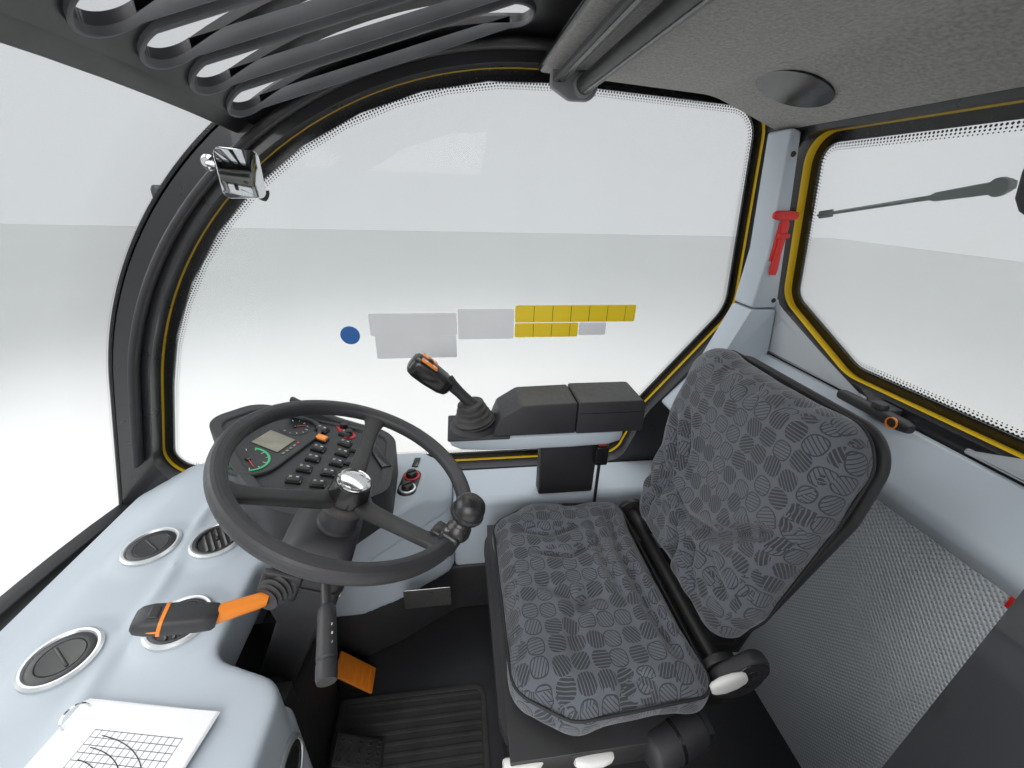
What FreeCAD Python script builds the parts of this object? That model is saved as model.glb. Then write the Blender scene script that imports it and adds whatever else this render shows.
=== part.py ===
import FreeCAD, Part
import math
import os
import re
from types import SimpleNamespace
from FreeCAD import Placement, Rotation, Vector

# Operator's cab of a telehandler, with its door hooked open.
# The frame has +Z up, the front at -Y and the door side at +X. Its origin is the centre
# of the four holes of the rubber mounts, at the underside of the feet. Lengths are in
# millimetres and angles in degrees.

os.makedirs("parts", exist_ok=True)
doc = FreeCAD.newDocument("OperatorCab")

# Driving dimensions
sizes = {
    # shell of the cab
    "cab_half": 490, "wall": 50, "floor_level": 150, "sill_level": 60,
    "bend_y": 222, "bend_z": 598, "bend_radius": 1020, "post_width": 75,
    "rake_angle": 164.3, "roof_angle": 87.3,
    "nose_y": -640, "nose_z": 470, "rear_top_y": 800, "rear_belt_y": 905, "rear_belt_z": 960,
    "rear_foot_y": 868, "rear_wall": 42,
    "door_foot_y": -520, "door_knee_z": 520, "door_rear_y": 330, "second_post": 85,
    "window_foot_z": 575, "window_rear_y": 765, "quarter_foot_z": 700,
    "rear_side": 55, "rear_window_foot": 968, "rear_top_drop": 152,
    # glass
    "pane": 6, "pane_lap": 16, "glass_bow": 45, "bond_gap": 0.3,
    "screen_top_angle": 125.3, "screen_straight": 395, "glass_half": 484,
    # roof
    "header_depth": 35, "header_angle": 2.2, "guard_drop": 32, "guard_plate": 10,
    "guard_front_angle": 124.1, "slot_width": 72, "slot_pitch": 103, "slot_front_y": -330,
    "slot_length": 525, "slot_count": 8, "cover_thick": 22, "cover_length": 575,
    "liner_front_y": 225, "liner_thick": 18, "liner_drop": 92,
    # floor and mounts
    "foot_x": 360, "foot_y": 584, "foot_side": 120, "foot_hole": 8.5, "beam_width": 80,
    "floor_plate": 12, "floor_front_y": -644, "mat_thick": 8,
    # dash and consoles
    "dash_front_y": -815, "dash_front_z": 545, "dash_top": 645, "dash_under": 555,
    "dash_right_y": 22, "knee_rear_y": -225, "heater_top": 330, "base_half": 90,
    "base_front_y": -365, "base_rear_y": -267, "base_slot": 60, "base_slot_floor": 432,
    "base_top": 500,
    "vent_radius": 43, "vent_height": 9, "pod_top": 850, "pod_slope": 17, "console_face": -300,
    "console_top": 575, "lining_y": 800, "panel_foot": 820, "trim_thick": 28, "corner_width": 72,
    # steering
    "wheel_y": -114, "wheel_z": 903, "column_angle": 24, "rim_radius": 182, "rim_tube": 14,
    "tilt_z": 470, "tilt_hub": 24, "tilt_pin": 8, "boss_radius": 33, "boss_below": 60,
    "boss_above": -17, "spoke_drop": 45, "spoke_radius": 10, "knob_radius": 25,
    # seat
    "seat_half": 250, "seat_front_y": 100, "seat_rear_y": 435, "seat_top": 640,
    "cushion_thick": 95, "back_y": 470, "back_z": 590, "back_lean": 12, "back_thick": 80,
    "back_height": 444, "back_top_half": 200, "back_mid_half": 212, "back_low_half": 180,
    "back_shift": -18, "seat_base_top": 300,
    "rail_level": 470, "pan_level": 492, "ear_gap": 4, "ear_thick": 14, "back_pin": 9,
    # arm console and joystick
    "arm_x": -352, "arm_width": 110, "arm_front_y": 20, "arm_rear_y": 480, "pad_front_y": 140,
    "arm_top": 885, "arm_level": 800, "arm_under": 755,
    # door
    "door_gap": 6, "door_thick": 30, "door_lap": 22, "door_border": 28, "door_bar": 790,
    "door_open": 100, "hinge_out": 22, "hinge_y": 382, "hinge_radius": 11, "hinge_pin": 5,
    "hinge_low": 450, "hinge_high": 1300,
}

sheet = doc.addObject("Spreadsheet::Sheet", "Sizes")
for row, (name, value) in enumerate(sizes.items(), 1):
    sheet.set("A%d" % row, name)
    sheet.set("B%d" % row, str(value))
    sheet.setAlias("B%d" % row, name)
doc.recompute()
s = SimpleNamespace(**{name: float(sheet.get(name)) for name in sizes})

nodes = []


def bind(item, prop, formula):
    """A formula in the words of the sheet drives one property."""
    linked = re.sub(r"[a-z][a-z_]+", lambda word: "Sizes." + word.group(0)
                    if word.group(0) in sizes else word.group(0), str(formula))
    item.setExpression(prop, linked)


def node(item, label, turn=None):
    """A finished sub-part gets its name, and its placement if it is turned."""
    if turn is not None and item.ExpressionEngine:
        turned = doc.addObject("Part::Compound", item.Name + "_turned")
        turned.Links = [item]
        item = turned
    if turn is not None:
        item.Placement = turn
    item.Label = label
    nodes.append(item)
    return item


def block(name, x, y, z):
    """A box from start and end formulas along each axis."""
    item = doc.addObject("Part::Box", name)
    for side, place, (start, end) in (("Length", "x", x), ("Width", "y", y), ("Height", "z", z)):
        bind(item, side, "(%s) - (%s)" % (end, start))
        bind(item, "Placement.Base." + place, start)
    return item


def rod(name, radius, length, base, axis=(0, 0, 1)):
    """A cylinder from its base formulas along an axis."""
    item = doc.addObject("Part::Cylinder", name)
    item.Placement.Rotation = Rotation(Vector(0, 0, 1), Vector(*axis))
    bind(item, "Radius", radius)
    bind(item, "Height", length)
    for place, formula in zip("xyz", base):
        bind(item, "Placement.Base." + place, formula)
    return item


def join(name, items):
    item = doc.addObject("Part::MultiFuse", name)
    item.Shapes = items
    return item


def cut(name, base, tool):
    item = doc.addObject("Part::Cut", name)
    item.Base = base
    item.Tool = tool
    return item


def overlap(name, first, second):
    item = doc.addObject("Part::MultiCommon", name)
    item.Shapes = [first, second]
    return item


def corner_arc(before, corner, after):
    """Tangent points and middle of the arc that rounds a corner (u, v, radius)."""
    here = Vector(corner[0], corner[1], 0)
    if corner[2] == 0:
        return here, here, here
    back = (Vector(before[0], before[1], 0) - here).normalize()
    ahead = (Vector(after[0], after[1], 0) - here).normalize()
    half = back.getAngle(ahead) / 2
    reach = corner[2] / math.tan(half)
    centre = here + (back + ahead).normalize() * (corner[2] / math.sin(half))
    middle = centre + (here - centre).normalize() * corner[2]
    return here + back * reach, middle, here + ahead * reach


def loop_edges(corners):
    """Lines and tangent arcs round a closed outline of (u, v, radius) corners."""
    arcs = [corner_arc(corners[i - 1], corners[i], corners[(i + 1) % len(corners)])
            for i in range(len(corners))]
    edges = []
    for i, (first, middle, last) in enumerate(arcs):
        start = arcs[i - 1][2]
        if (first - start).Length > 0.01:
            edges.append(Part.LineSegment(start, first))
        if corners[i][2] > 0:
            edges.append(Part.Arc(first, middle, last))
    return edges


def circle(u, v, radius):
    return [Part.Circle(Vector(u, v, 0), Vector(0, 0, 1), radius)]


def sketch_on(body, plane, edges, name):
    """A sketch of the given edges on one of the body's own origin planes."""
    sketch = body.newObject("Sketcher::SketchObject", name)
    base = [item for item in body.Origin.OriginFeatures if item.Role == plane + "_Plane"][0]
    sketch.AttachmentSupport = (base, [""])
    sketch.MapMode = "FlatFace"
    sketch.addGeometry(edges, False)
    return sketch


def plate(name, plane, loops, start, end):
    """A body padded from an outline with holes, between two formulas along its normal."""
    body = doc.addObject("PartDesign::Body", name)
    edges = [edge for loop in loops for edge in loop]
    pad = body.newObject("PartDesign::Pad", name + "_pad")
    pad.Profile = sketch_on(body, plane, edges, name + "_sketch")
    bind(pad, "Length", "(%s) - (%s)" % (end, start))
    place, origin = {"YZ": ("x", start), "XZ": ("y", end), "XY": ("z", start)}[plane]
    bind(body, "Placement.Base." + place, origin)
    return body


def rounded(u, v, radius):
    """A rectangle outline between pairs of u and v, with rounded corners."""
    return loop_edges([(u[0], v[0], radius), (u[1], v[0], radius),
                       (u[1], v[1], radius), (u[0], v[1], radius)])


# The post and roof rail follow one bend about an axis across the cab
def on_bend(radius, angle):
    turn = math.radians(angle)
    return s.bend_y + radius * math.cos(turn), s.bend_z + radius * math.sin(turn)


def bend_corner(radius):
    """The corner whose rounding is the bend itself, at a radius."""
    half = (s.rake_angle - s.roof_angle) / 2
    reach = radius / math.cos(math.radians(half))
    return on_bend(reach, s.rake_angle - half) + (radius,)


def front_y(radius, z):
    """Where the straight part of the front post is at a height."""
    y, top = on_bend(radius, s.rake_angle)
    return y + (z - top) * math.tan(math.radians(180 - s.rake_angle))


def roof_z(radius, y):
    """How high the straight part of the roof rail is at a place along the cab."""
    start_y, start_z = on_bend(radius, s.roof_angle)
    return start_z - (y - start_y) / math.tan(math.radians(s.roof_angle))


def grown(corners, distance):
    """The same outline moved outwards all round."""
    pairs = zip(corners, corners[1:] + corners[:1])
    side = math.copysign(1, sum(a[0] * b[1] - b[0] * a[1] for a, b in pairs))
    moved = []
    for i, (u, v, radius) in enumerate(corners):
        back, ahead = corners[i - 1], corners[(i + 1) % len(corners)]
        into = Vector(u - back[0], v - back[1], 0).normalize()
        out = Vector(ahead[0] - u, ahead[1] - v, 0).normalize()
        normals = Vector(into.y + out.y, -into.x - out.x, 0) * side
        shift = normals * (distance / (1 + into.dot(out)))
        turn = math.copysign(1, into.cross(out).z * side)
        moved.append((u + shift.x, v + shift.y, max(radius + turn * distance, 0)))
    return moved


def crown(x):
    """How far the curved glass and roof stand out at a distance from the middle."""
    across = (s.glass_half ** 2 + s.glass_bow ** 2) / (2 * s.glass_bow)
    return math.sqrt(across ** 2 - x ** 2) - across + s.glass_bow


def strip_edges(half, low, high):
    """The section of a crowned panel, from one radius of the bend to another."""
    rise, middle = crown(half), crown(0)
    corners = [Vector(-half, low + rise, 0), Vector(half, low + rise, 0),
               Vector(half, high + rise, 0), Vector(-half, high + rise, 0)]
    return [Part.Arc(corners[0], Vector(0, low + middle, 0), corners[1]),
            Part.LineSegment(corners[1], corners[2]),
            Part.Arc(corners[2], Vector(0, high + middle, 0), corners[3]),
            Part.LineSegment(corners[3], corners[0])]


def bent_panel(name, half, low, high, angle, turn=None, straight=None, skip=0):
    """A crowned panel from one angle of the bend: turned back over the bend by an angle,
    or run straight on along the tangent, or both."""
    body = doc.addObject("PartDesign::Body", name)
    tilt = math.radians(angle)
    along = Vector(0, -math.sin(tilt), math.cos(tilt)) * skip
    body.Placement = Placement(Vector(0, s.bend_y, s.bend_z) + along,
                               Rotation(Vector(1, 0, 0), angle))
    if straight is not None:
        pad = body.newObject("PartDesign::Pad", name + "_pad")
        pad.Profile = sketch_on(body, "XY", strip_edges(half, low, high), name + "_foot")
        bind(pad, "Length", straight)
    if turn is not None:
        sketch = sketch_on(body, "XY", strip_edges(half, low, high), name + "_section")
        bend = body.newObject("PartDesign::Revolution", name + "_bend")
        bend.Profile = sketch
        bend.ReferenceAxis = (sketch, ["H_Axis"])
        bind(bend, "Angle", turn)
        bend.Reversed = True
    return body


def bar(name, start, end, radius):
    """A round bar between two points."""
    run = Vector(*end) - Vector(*start)
    item = doc.addObject("Part::Cylinder", name)
    item.Radius = radius
    item.Height = run.Length
    item.Placement = Placement(Vector(*start), Rotation(Vector(0, 0, 1), run))
    return item


# Side walls: one outline, with the right window, or the doorway and the quarter window
open_radius = s.bend_radius - s.post_width
inner_half = s.cab_half - s.wall
rear_half = inner_half - s.rear_side
rear_top_z = roof_z(s.bend_radius, s.rear_top_y)
rear_window_top = rear_top_z - s.rear_top_drop
liner_level = roof_z(s.bend_radius, s.liner_front_y) - s.liner_drop
ear_left = s.back_shift + s.back_low_half + s.ear_gap
ear_right = s.back_shift - s.back_low_half - s.ear_gap
hinge_x = s.cab_half + s.hinge_out
wall_outline = [
    (s.nose_y, s.sill_level, 40), (front_y(s.bend_radius, s.nose_z), s.nose_z, 120),
    bend_corner(s.bend_radius), (s.rear_top_y, roof_z(s.bend_radius, s.rear_top_y), 110),
    (s.rear_belt_y, s.rear_belt_z, 150), (s.rear_foot_y, s.sill_level, 40)]
window_top = (s.window_rear_y, roof_z(open_radius, s.window_rear_y), 90)
window_belt = (s.window_rear_y + 45, s.rear_belt_z + 70, 120)
right_window = [
    (front_y(open_radius, s.window_foot_z), s.window_foot_z, 70), bend_corner(open_radius),
    window_top, window_belt, (590, 740, 120), (530, s.window_foot_z, 60)]
doorway = [
    (s.door_foot_y, s.floor_level, 40),
    (front_y(open_radius, s.door_knee_z), s.door_knee_z, 120), bend_corner(open_radius),
    (s.door_rear_y, roof_z(open_radius, s.door_rear_y), 50),
    (s.door_rear_y, s.floor_level, 40)]
quarter_y = s.door_rear_y + s.second_post
quarter_window = [
    (quarter_y, s.quarter_foot_z, 50), (quarter_y, roof_z(open_radius, quarter_y), 50),
    window_top, window_belt, (s.window_rear_y + 35, s.quarter_foot_z, 60)]

node(plate("WallRight", "YZ", [loop_edges(wall_outline), loop_edges(right_window)],
           "-cab_half", "wall - cab_half"), "side_wall_right")
node(plate("WallLeft", "YZ", [loop_edges(wall_outline), loop_edges(doorway),
                              loop_edges(quarter_window)],
           "cab_half - wall", "cab_half"), "side_wall_left")
node(plate("RightGlass", "YZ", [loop_edges(grown(right_window, s.pane_lap))],
           "-cab_half - pane", "-cab_half"), "right_window")
node(plate("QuarterGlass", "YZ", [loop_edges(grown(quarter_window, s.pane_lap))],
           "cab_half", "cab_half + pane"), "quarter_window")

# Front and roof follow the bend between the walls
under_glass = s.bend_radius - s.bond_gap
node(bent_panel("Screen", s.glass_half, s.bend_radius, s.bend_radius + s.pane, s.rake_angle,
                turn="rake_angle - screen_top_angle", straight="screen_straight"),
     "windscreen")
node(bent_panel("Header", inner_half, s.bend_radius - s.header_depth, under_glass,
                s.guard_front_angle + s.header_angle, turn="header_angle"), "front_header")
cowl_height = 75
node(bent_panel("Cowl", inner_half, s.bend_radius - s.header_depth, under_glass,
                s.rake_angle, straight=cowl_height, skip=s.screen_straight - 30), "cowl")
guard_top = s.bend_radius - s.guard_drop
guard = bent_panel("Guard", inner_half, guard_top - s.guard_plate, guard_top,
                   s.guard_front_angle, turn="guard_front_angle - roof_angle")
slots = []
for i in range(int(s.slot_count)):
    x = (i - (s.slot_count - 1) / 2) * s.slot_pitch
    slots.append(rounded((x - s.slot_width / 2, x + s.slot_width / 2),
                         (s.slot_front_y, s.slot_front_y + s.slot_length), s.slot_width / 2))
slot_tool = plate("GuardSlots", "XY", slots, "bend_z", "bend_z + bend_radius + 100")
node(cut("GuardPlate", guard, slot_tool), "roof_guard")
node(bent_panel("RoofGlass", s.glass_half, s.bend_radius, s.bend_radius + s.pane,
                s.screen_top_angle - 0.6, turn="screen_top_angle - roof_angle - 0.8"),
     "roof_glass")
cover = doc.addObject("PartDesign::Body", "Cover")
cover.Placement = Placement(Vector(0, s.bend_y, s.bend_z),
                            Rotation(Vector(1, 0, 0), s.roof_angle))
cover_pad = cover.newObject("PartDesign::Pad", "Cover_pad")
cover_pad.Profile = sketch_on(cover, "XY", strip_edges(
    s.glass_half, s.bend_radius, s.bend_radius + s.cover_thick), "Cover_section")
bind(cover_pad, "Length", "cover_length")
cover_pad.Reversed = True
node(cover, "roof_cover")

liner_rear_y = 774
node(plate("Liner", "YZ", [loop_edges([
    (s.liner_front_y, liner_level, 0), (600, liner_level - 20, 200),
    (liner_rear_y, liner_level - 80, 0), (liner_rear_y, liner_level - 80 + s.liner_thick, 0),
    (604, liner_level - 20 + s.liner_thick, 200),
    (s.liner_front_y, liner_level + s.liner_thick, 0)])],
    "wall - cab_half", "cab_half - wall"), "headliner")

# Front and rear walls between the side walls
cowl_foot_y, cowl_foot_z = on_bend(s.bend_radius - s.header_depth, s.rake_angle)
cowl_reach = s.screen_straight - 30 + cowl_height
wall_top_z = cowl_foot_z + cowl_reach * math.cos(math.radians(s.rake_angle)) - s.bond_gap
wall_top_y = s.nose_y + (wall_top_z - s.sill_level) / (s.nose_z - s.sill_level) * (
    front_y(s.bend_radius, s.nose_z) - s.nose_y)
node(plate("FrontWall", "YZ", [loop_edges([
    (s.nose_y + 5, s.sill_level, 0), (wall_top_y + 5, wall_top_z, 0),
    (wall_top_y + 40, wall_top_z, 0), (s.nose_y + 40, s.sill_level, 0)])],
    "wall - cab_half", "cab_half - wall"), "front_wall")

rear_strip = plate("RearStrip", "YZ", [loop_edges([
    (s.rear_foot_y, s.sill_level, 0), (s.rear_belt_y, s.rear_belt_z, 150),
    (s.rear_top_y, rear_top_z, 110), (s.rear_top_y - 100, roof_z(s.bend_radius,
                                                               s.rear_top_y - 100), 0),
    (s.rear_top_y - 100, rear_top_z - s.rear_wall, 0),
    (s.rear_top_y - s.rear_wall + 4, rear_top_z - s.rear_wall - 2, 60),
    (s.rear_belt_y - s.rear_wall, s.rear_belt_z, 150),
    (s.rear_foot_y - s.rear_wall, s.sill_level, 0)])],
    "wall - cab_half", "cab_half - wall")
rear_opening = plate("RearOpening", "XZ", [loop_edges([
    (-170, s.rear_window_foot, 100), (170, s.rear_window_foot, 100), (rear_half, 1085, 60),
    (rear_half, rear_window_top, 60), (-rear_half, rear_window_top, 60), (-rear_half, 1085, 60)])],
    "rear_top_y - 150", "rear_belt_y + 100")
node(cut("RearWall", rear_strip, rear_opening), "rear_wall")

lean = math.degrees(math.atan2(s.rear_belt_y - s.rear_top_y, rear_top_z - s.rear_belt_z))
rear_pane = plate("RearPane", "XZ", [rounded(
    (-rear_half - 22, rear_half + 22),
    (0, rear_window_top - s.rear_window_foot + 50), 50)], 0, "pane")
pane_foot = Vector(0, s.rear_belt_y + s.bond_gap, s.rear_window_foot - 8)
pane_foot.y += (s.rear_belt_z - pane_foot.z) * math.tan(math.radians(lean)) + 0.1
node(rear_pane, "rear_window", Placement(pane_foot, Rotation(Vector(1, 0, 0), lean)))
node(join("RearHandle", [
    block("RearHandleBar", (-110, 30), ("rear_belt_y - rear_wall - 52", "rear_belt_y - rear_wall - 30"),
          ("rear_window_foot - 22", "rear_window_foot - 2")),
    block("RearHandleFoot", (-60, -20), ("rear_belt_y - rear_wall - 30", "rear_belt_y - rear_wall - 1.4"),
          ("rear_window_foot - 20", "rear_window_foot - 4"))]), "rear_window_handle")

# Floor with beams and the feet that stand on the rubber mounts
beams = []
for side in (-1, 1):
    beams.append(block("Beam%+d" % side, ("%d * foot_x - beam_width / 2" % side,
                                         "%d * foot_x + beam_width / 2" % side),
                       ("nose_y + 41", "rear_foot_y - rear_wall - 1"),
                       ("sill_level", "floor_level - floor_plate")))
    for end in (-1, 1):
        beams.append(block("Foot%+d%+d" % (side, end),
                           ("%d * foot_x - foot_side / 2" % side, "%d * foot_x + foot_side / 2" % side),
                           ("%d * foot_y - foot_side / 2" % end, "%d * foot_y + foot_side / 2" % end),
                           (0, "sill_level")))
beams.append(block("FloorPlate", ("wall - cab_half", "cab_half - wall"),
                   ("floor_front_y", "rear_foot_y - rear_wall - 1"),
                   ("floor_level - floor_plate", "floor_level")))
holes = [rod("Hole%+d%+d" % (side, end), "foot_hole", "sill_level + 60",
             ("%d * foot_x" % side, "%d * foot_y" % end, -1))
         for side in (-1, 1) for end in (-1, 1)]
node(cut("Floor", join("FloorSolid", beams), join("FloorHoles", holes)), "floor_frame")
node(plate("Mat", "XY", [loop_edges([
    (-88, s.base_rear_y + 5, 10), (100, s.base_rear_y + 5, 10), (108, s.knee_rear_y + 8, 10),
    (405, s.knee_rear_y + 8, 10), (405, 92, 30), (-88, 92, 30)])],
           "floor_level", "floor_level + mat_thick"), "floor_mat")

# Inner trims
for side, start, end, label in ((-1, "wall - cab_half", "wall - cab_half + trim_thick", "right"),
                                (1, "cab_half - wall - trim_thick", "cab_half - wall", "left")):
    outer = s.bend_radius - s.guard_drop - s.guard_plate - s.bond_gap
    inner = open_radius + 18
    node(plate("PostTrim" + label, "YZ", [loop_edges([
        (front_y(outer, 650), 650, 0), bend_corner(outer), (330, roof_z(outer, 330), 0),
        (330, roof_z(inner, 330), 0), bend_corner(inner), (front_y(inner, 650), 650, 0)])],
        start, end), "post_trim_" + label)
    corner = "cab_half - wall", "cab_half - wall - corner_width"
    reach = ("-(%s)" % corner[0], "-(%s)" % corner[1]) if side < 0 else (corner[1], corner[0])
    node(plate("CornerTrim" + label, "YZ", [loop_edges([
        (771, 1066, 8), (777, 1200, 60), (749, 1450, 6), (775, 1442, 4),
        (s.rear_belt_y - s.rear_wall - 22, 1066, 8)])], *reach),
        "corner_trim_" + label)

wall_face = s.rear_belt_y - s.rear_wall
node(join("RearPanel", [plate("RearLedge", "YZ", [loop_edges([
    (wall_face - 3, s.rear_belt_z - 17, 4), (wall_face - 18, s.rear_belt_z - 16, 8),
    (wall_face - 95, s.rear_belt_z - 96, 25), (wall_face - 77, s.rear_belt_z - 122, 12),
    (s.lining_y, s.panel_foot, 6), (wall_face - 14, s.panel_foot, 3)])],
    "wall - cab_half", "cab_half - wall"),
    plate("CornerStand", "YZ", [loop_edges([
        (771, 1062, 8), (838, 1062, 4), (852, s.rear_belt_z - 5, 4),
        (wall_face - 20, s.rear_belt_z - 90, 4), (700, 800, 20), (604, 752, 8),
        (696, 862, 60)])], "wall - cab_half", "wall - cab_half + corner_width + 3")]),
    "rear_panel")
node(plate("RearLining", "YZ", [loop_edges([
    (s.lining_y, s.panel_foot, 0), (s.lining_y + 18, s.panel_foot, 0),
    (s.lining_y + 8, s.floor_level, 0), (s.lining_y - 10, s.floor_level, 0)])],
    "wall - cab_half", "cab_half - wall"), "rear_lining")
node(plate("SideConsole", "XZ", [loop_edges([
    (-inner_half, s.heater_top, 0), (-inner_half, s.console_top, 0),
    (s.console_face, s.console_top, 22), (s.console_face - 8, s.heater_top, 0)])],
    "dash_right_y", "lining_y - 12"), "side_console")

# Dash: a wedge section across the cab, cut to its plan, on a housing each side of the legs
dash_section = plate("DashSection", "YZ", [loop_edges([
    (s.dash_front_y, 480, 0), (s.dash_front_y, s.dash_front_z, 25), (-640, s.dash_top, 100),
    (-60, s.dash_top, 60), (s.dash_right_y + 3, s.console_top + 15, 20),
    (s.dash_right_y + 3, s.dash_under, 0), (-660, s.dash_under, 20), (-740, 480, 0)])],
    "wall - cab_half", "cab_half - wall")
dash_plan = plate("DashPlan", "XY", [loop_edges([
    (-438, s.dash_front_y - 5, 0), (438, s.dash_front_y - 5, 0), (438, s.knee_rear_y - 100, 100),
    (345, s.knee_rear_y + 5, 80), (145, s.knee_rear_y + 5, 50), (95, -345, 40),
    (-105, -345, 40), (-112, -190, 45), (-195, -95, 60), (-290, s.dash_right_y, 70),
    (-438, s.dash_right_y, 0)])], 400, 700)
node(overlap("Dash", dash_section, dash_plan), "dash")
node(plate("KneePanel", "XY", [loop_edges([
    (112, -560, 0), (428, -560, 0), (428, s.knee_rear_y - 110, 90), (338, s.knee_rear_y, 70),
    (130, s.knee_rear_y, 22), (112, -335, 30)])], "floor_level", "dash_under"), "knee_panel")
node(plate("DashLower", "XY", [loop_edges([
    (-438, -560, 0), (-185, -560, 0), (-180, -215, 45), (-215, -125, 60),
    (s.console_face, s.dash_right_y, 60), (-438, s.dash_right_y, 0)])],
    "heater_top", "dash_under"), "dash_lower_right")
node(plate("HeaterBox", "XY", [loop_edges([
    (-438, -560, 0), (-195, -560, 0), (-190, -220, 45), (-225, -130, 60),
    (s.console_face - 10, s.dash_right_y, 60), (s.console_face - 10, s.lining_y - 14, 0),
    (-438, s.lining_y - 14, 0)])], "floor_level", "heater_top"), "heater_box")
pod_run = 430
pod_section = plate("PodSection", "YZ", [loop_edges([
    (-525, s.dash_top, 0), (-505, s.pod_top, 30),
    (-505 + pod_run, s.pod_top - pod_run * math.tan(math.radians(s.pod_slope)), 20),
    (-505 + pod_run, s.dash_top, 0)])], "wall - cab_half", 0)
pod_plan = plate("PodPlan", "XY", [loop_edges([
    (-412, -440, 60), (-300, -500, 60), (-165, -395, 40), (-70, -300, 60),
    (-62, -215, 50), (-175, -105, 50), (-400, -115, 60)])], 600, 900)
node(overlap("Pod", pod_section, pod_plan), "instrument_pod")
vents = [rod("Vent%d" % i, "vent_radius", "vent_height", (x, y, "dash_top"))
         for i, (x, y) in enumerate([(-145, -449), (36, -421), (80, -560), (-140, -568)])]
vents.append(rod("Vent4", "vent_radius", "vent_height",
                 (200, "knee_rear_y + vent_height", "dash_under - 50"), (0, -1, 0)))
node(join("Vents", vents), "air_vents")

# Column base with a slot and ears for the tilting column
tilt_turn = Rotation(Vector(1, 0, 0), -s.column_angle)
tilt_y = s.wheel_y - (s.wheel_z - s.tilt_z) * math.tan(math.radians(s.column_angle))
base_solid = block("BaseSolid", ("-base_half", "base_half"), ("base_front_y", "base_rear_y"),
                   ("floor_level", "base_top"))
base_slot = block("BaseSlot", ("-base_slot", "base_slot"),
                  ("base_front_y - 5", "base_rear_y + 5"), ("base_slot_floor", "base_top + 5"))
base_bore = rod("BaseBore", "tilt_pin + bond_gap", "2 * base_half + 10",
                ("-base_half - 5", tilt_y, "tilt_z"), (1, 0, 0))
node(cut("Base", base_solid, join("BaseTools", [base_slot, base_bore])), "column_base")

on_tilt = Placement(Vector(0, tilt_y, s.tilt_z), tilt_turn)
column_reach = (s.wheel_z - s.tilt_z) / math.cos(math.radians(s.column_angle))
boss_foot = column_reach - s.boss_below
head_foot = boss_foot - 154
column = join("Column", [
    rod("TiltHub", "tilt_hub", "2 * base_slot - 10", ("5 - base_slot", 0, 0), (1, 0, 0)),
    rod("TiltPin", "tilt_pin", "2 * base_half - 4", ("2 - base_half", 0, 0), (1, 0, 0)),
    block("Shroud", (-46, 46), (-34, 34), (0, head_foot)),
    block("ShroudTop", (-58, 66), (-72, 40), (head_foot, boss_foot - 45)),
    rod("ColumnTube", 30, boss_foot - s.bond_gap - head_foot, (0, 0, head_foot)),
    bar("StalkStem", (60, 5, head_foot + 70), (120, 25, head_foot + 70), 9),
    bar("StalkGrip", (118, 25, head_foot + 70), (215, 52, head_foot + 65), 13),
    bar("TiltLever", (-50, 0, head_foot + 50), (-165, 10, head_foot + 82), 7)])
node(column, "steering_column", on_tilt)


def on_column(x, y, z):
    """A point given from the tilt hinge, along the column."""
    return tuple(on_tilt.multVec(Vector(x, y, z)))


node(join("ShuttleLever", [
    bar("ShuttleBoot", on_column(66.3, -48, head_foot + 28), on_column(98, -48, head_foot + 28), 22),
    bar("ShuttleStem", on_column(86, -50, head_foot + 28), on_column(126, -116, head_foot + 18), 12),
    bar("ShuttleHead", on_column(125, -114, head_foot + 18), on_column(139, -192, head_foot + 8), 19)]),
     "shuttle_lever")

# Steering wheel with three spokes, its cap and its spinner knob
on_wheel = Placement(Vector(0, s.wheel_y, s.wheel_z), tilt_turn)
rim = doc.addObject("Part::Torus", "Rim")
bind(rim, "Radius1", "rim_radius")
bind(rim, "Radius2", "rim_tube")
wheel_parts = [rim, rod("Boss", "boss_radius", "boss_below + boss_above", (0, 0, "-boss_below")),
               rod("WheelCap", "boss_radius - 6", 9, (0, 0, "boss_above"))]
for i, (x, y) in enumerate([(0.559, -0.829), (0.559, 0.829), (-1, 0)]):
    wheel_parts.append(bar("Spoke%d" % i, (x * 20, y * 20, -s.spoke_drop - 4),
                           (x * s.rim_radius, y * s.rim_radius, 0), s.spoke_radius))
node(join("Wheel", wheel_parts), "steering_wheel", on_wheel)
knob_foot = s.rim_tube + s.bond_gap
ball = doc.addObject("Part::Sphere", "KnobBall")
bind(ball, "Radius", "knob_radius")
ball.Placement.Base = Vector(0.454 * s.rim_radius, 0.891 * s.rim_radius, knob_foot + 46)
knob_spot = "0.454 * rim_radius", "0.891 * rim_radius", knob_foot
node(join("Knob", [rod("KnobClamp", 17, 12, knob_spot), rod("KnobNeck", 10, 30, knob_spot), ball]),
     "spinner_knob", on_wheel)

# Pedals on the floor
pedals = []
for label, x, y, width, length, height, foot in (
        ("Brake", -126, -235, 62, 90, 95, s.floor_level),
        ("Drive", 40, -198, 60, 110, 60, s.floor_level + s.mat_thick)):
    pedal = plate(label + "Pedal", "YZ", [loop_edges([
        (y - length / 2, foot, 0), (y - length / 2, foot + height, 6),
        (y - length / 2 + 12, foot + height, 5), (y + length / 2, foot + 6, 2),
        (y + length / 2, foot, 0)])], x - width / 2, x + width / 2)
    pedals.append(pedal)
node(join("Pedals", pedals), "pedals")

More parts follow.
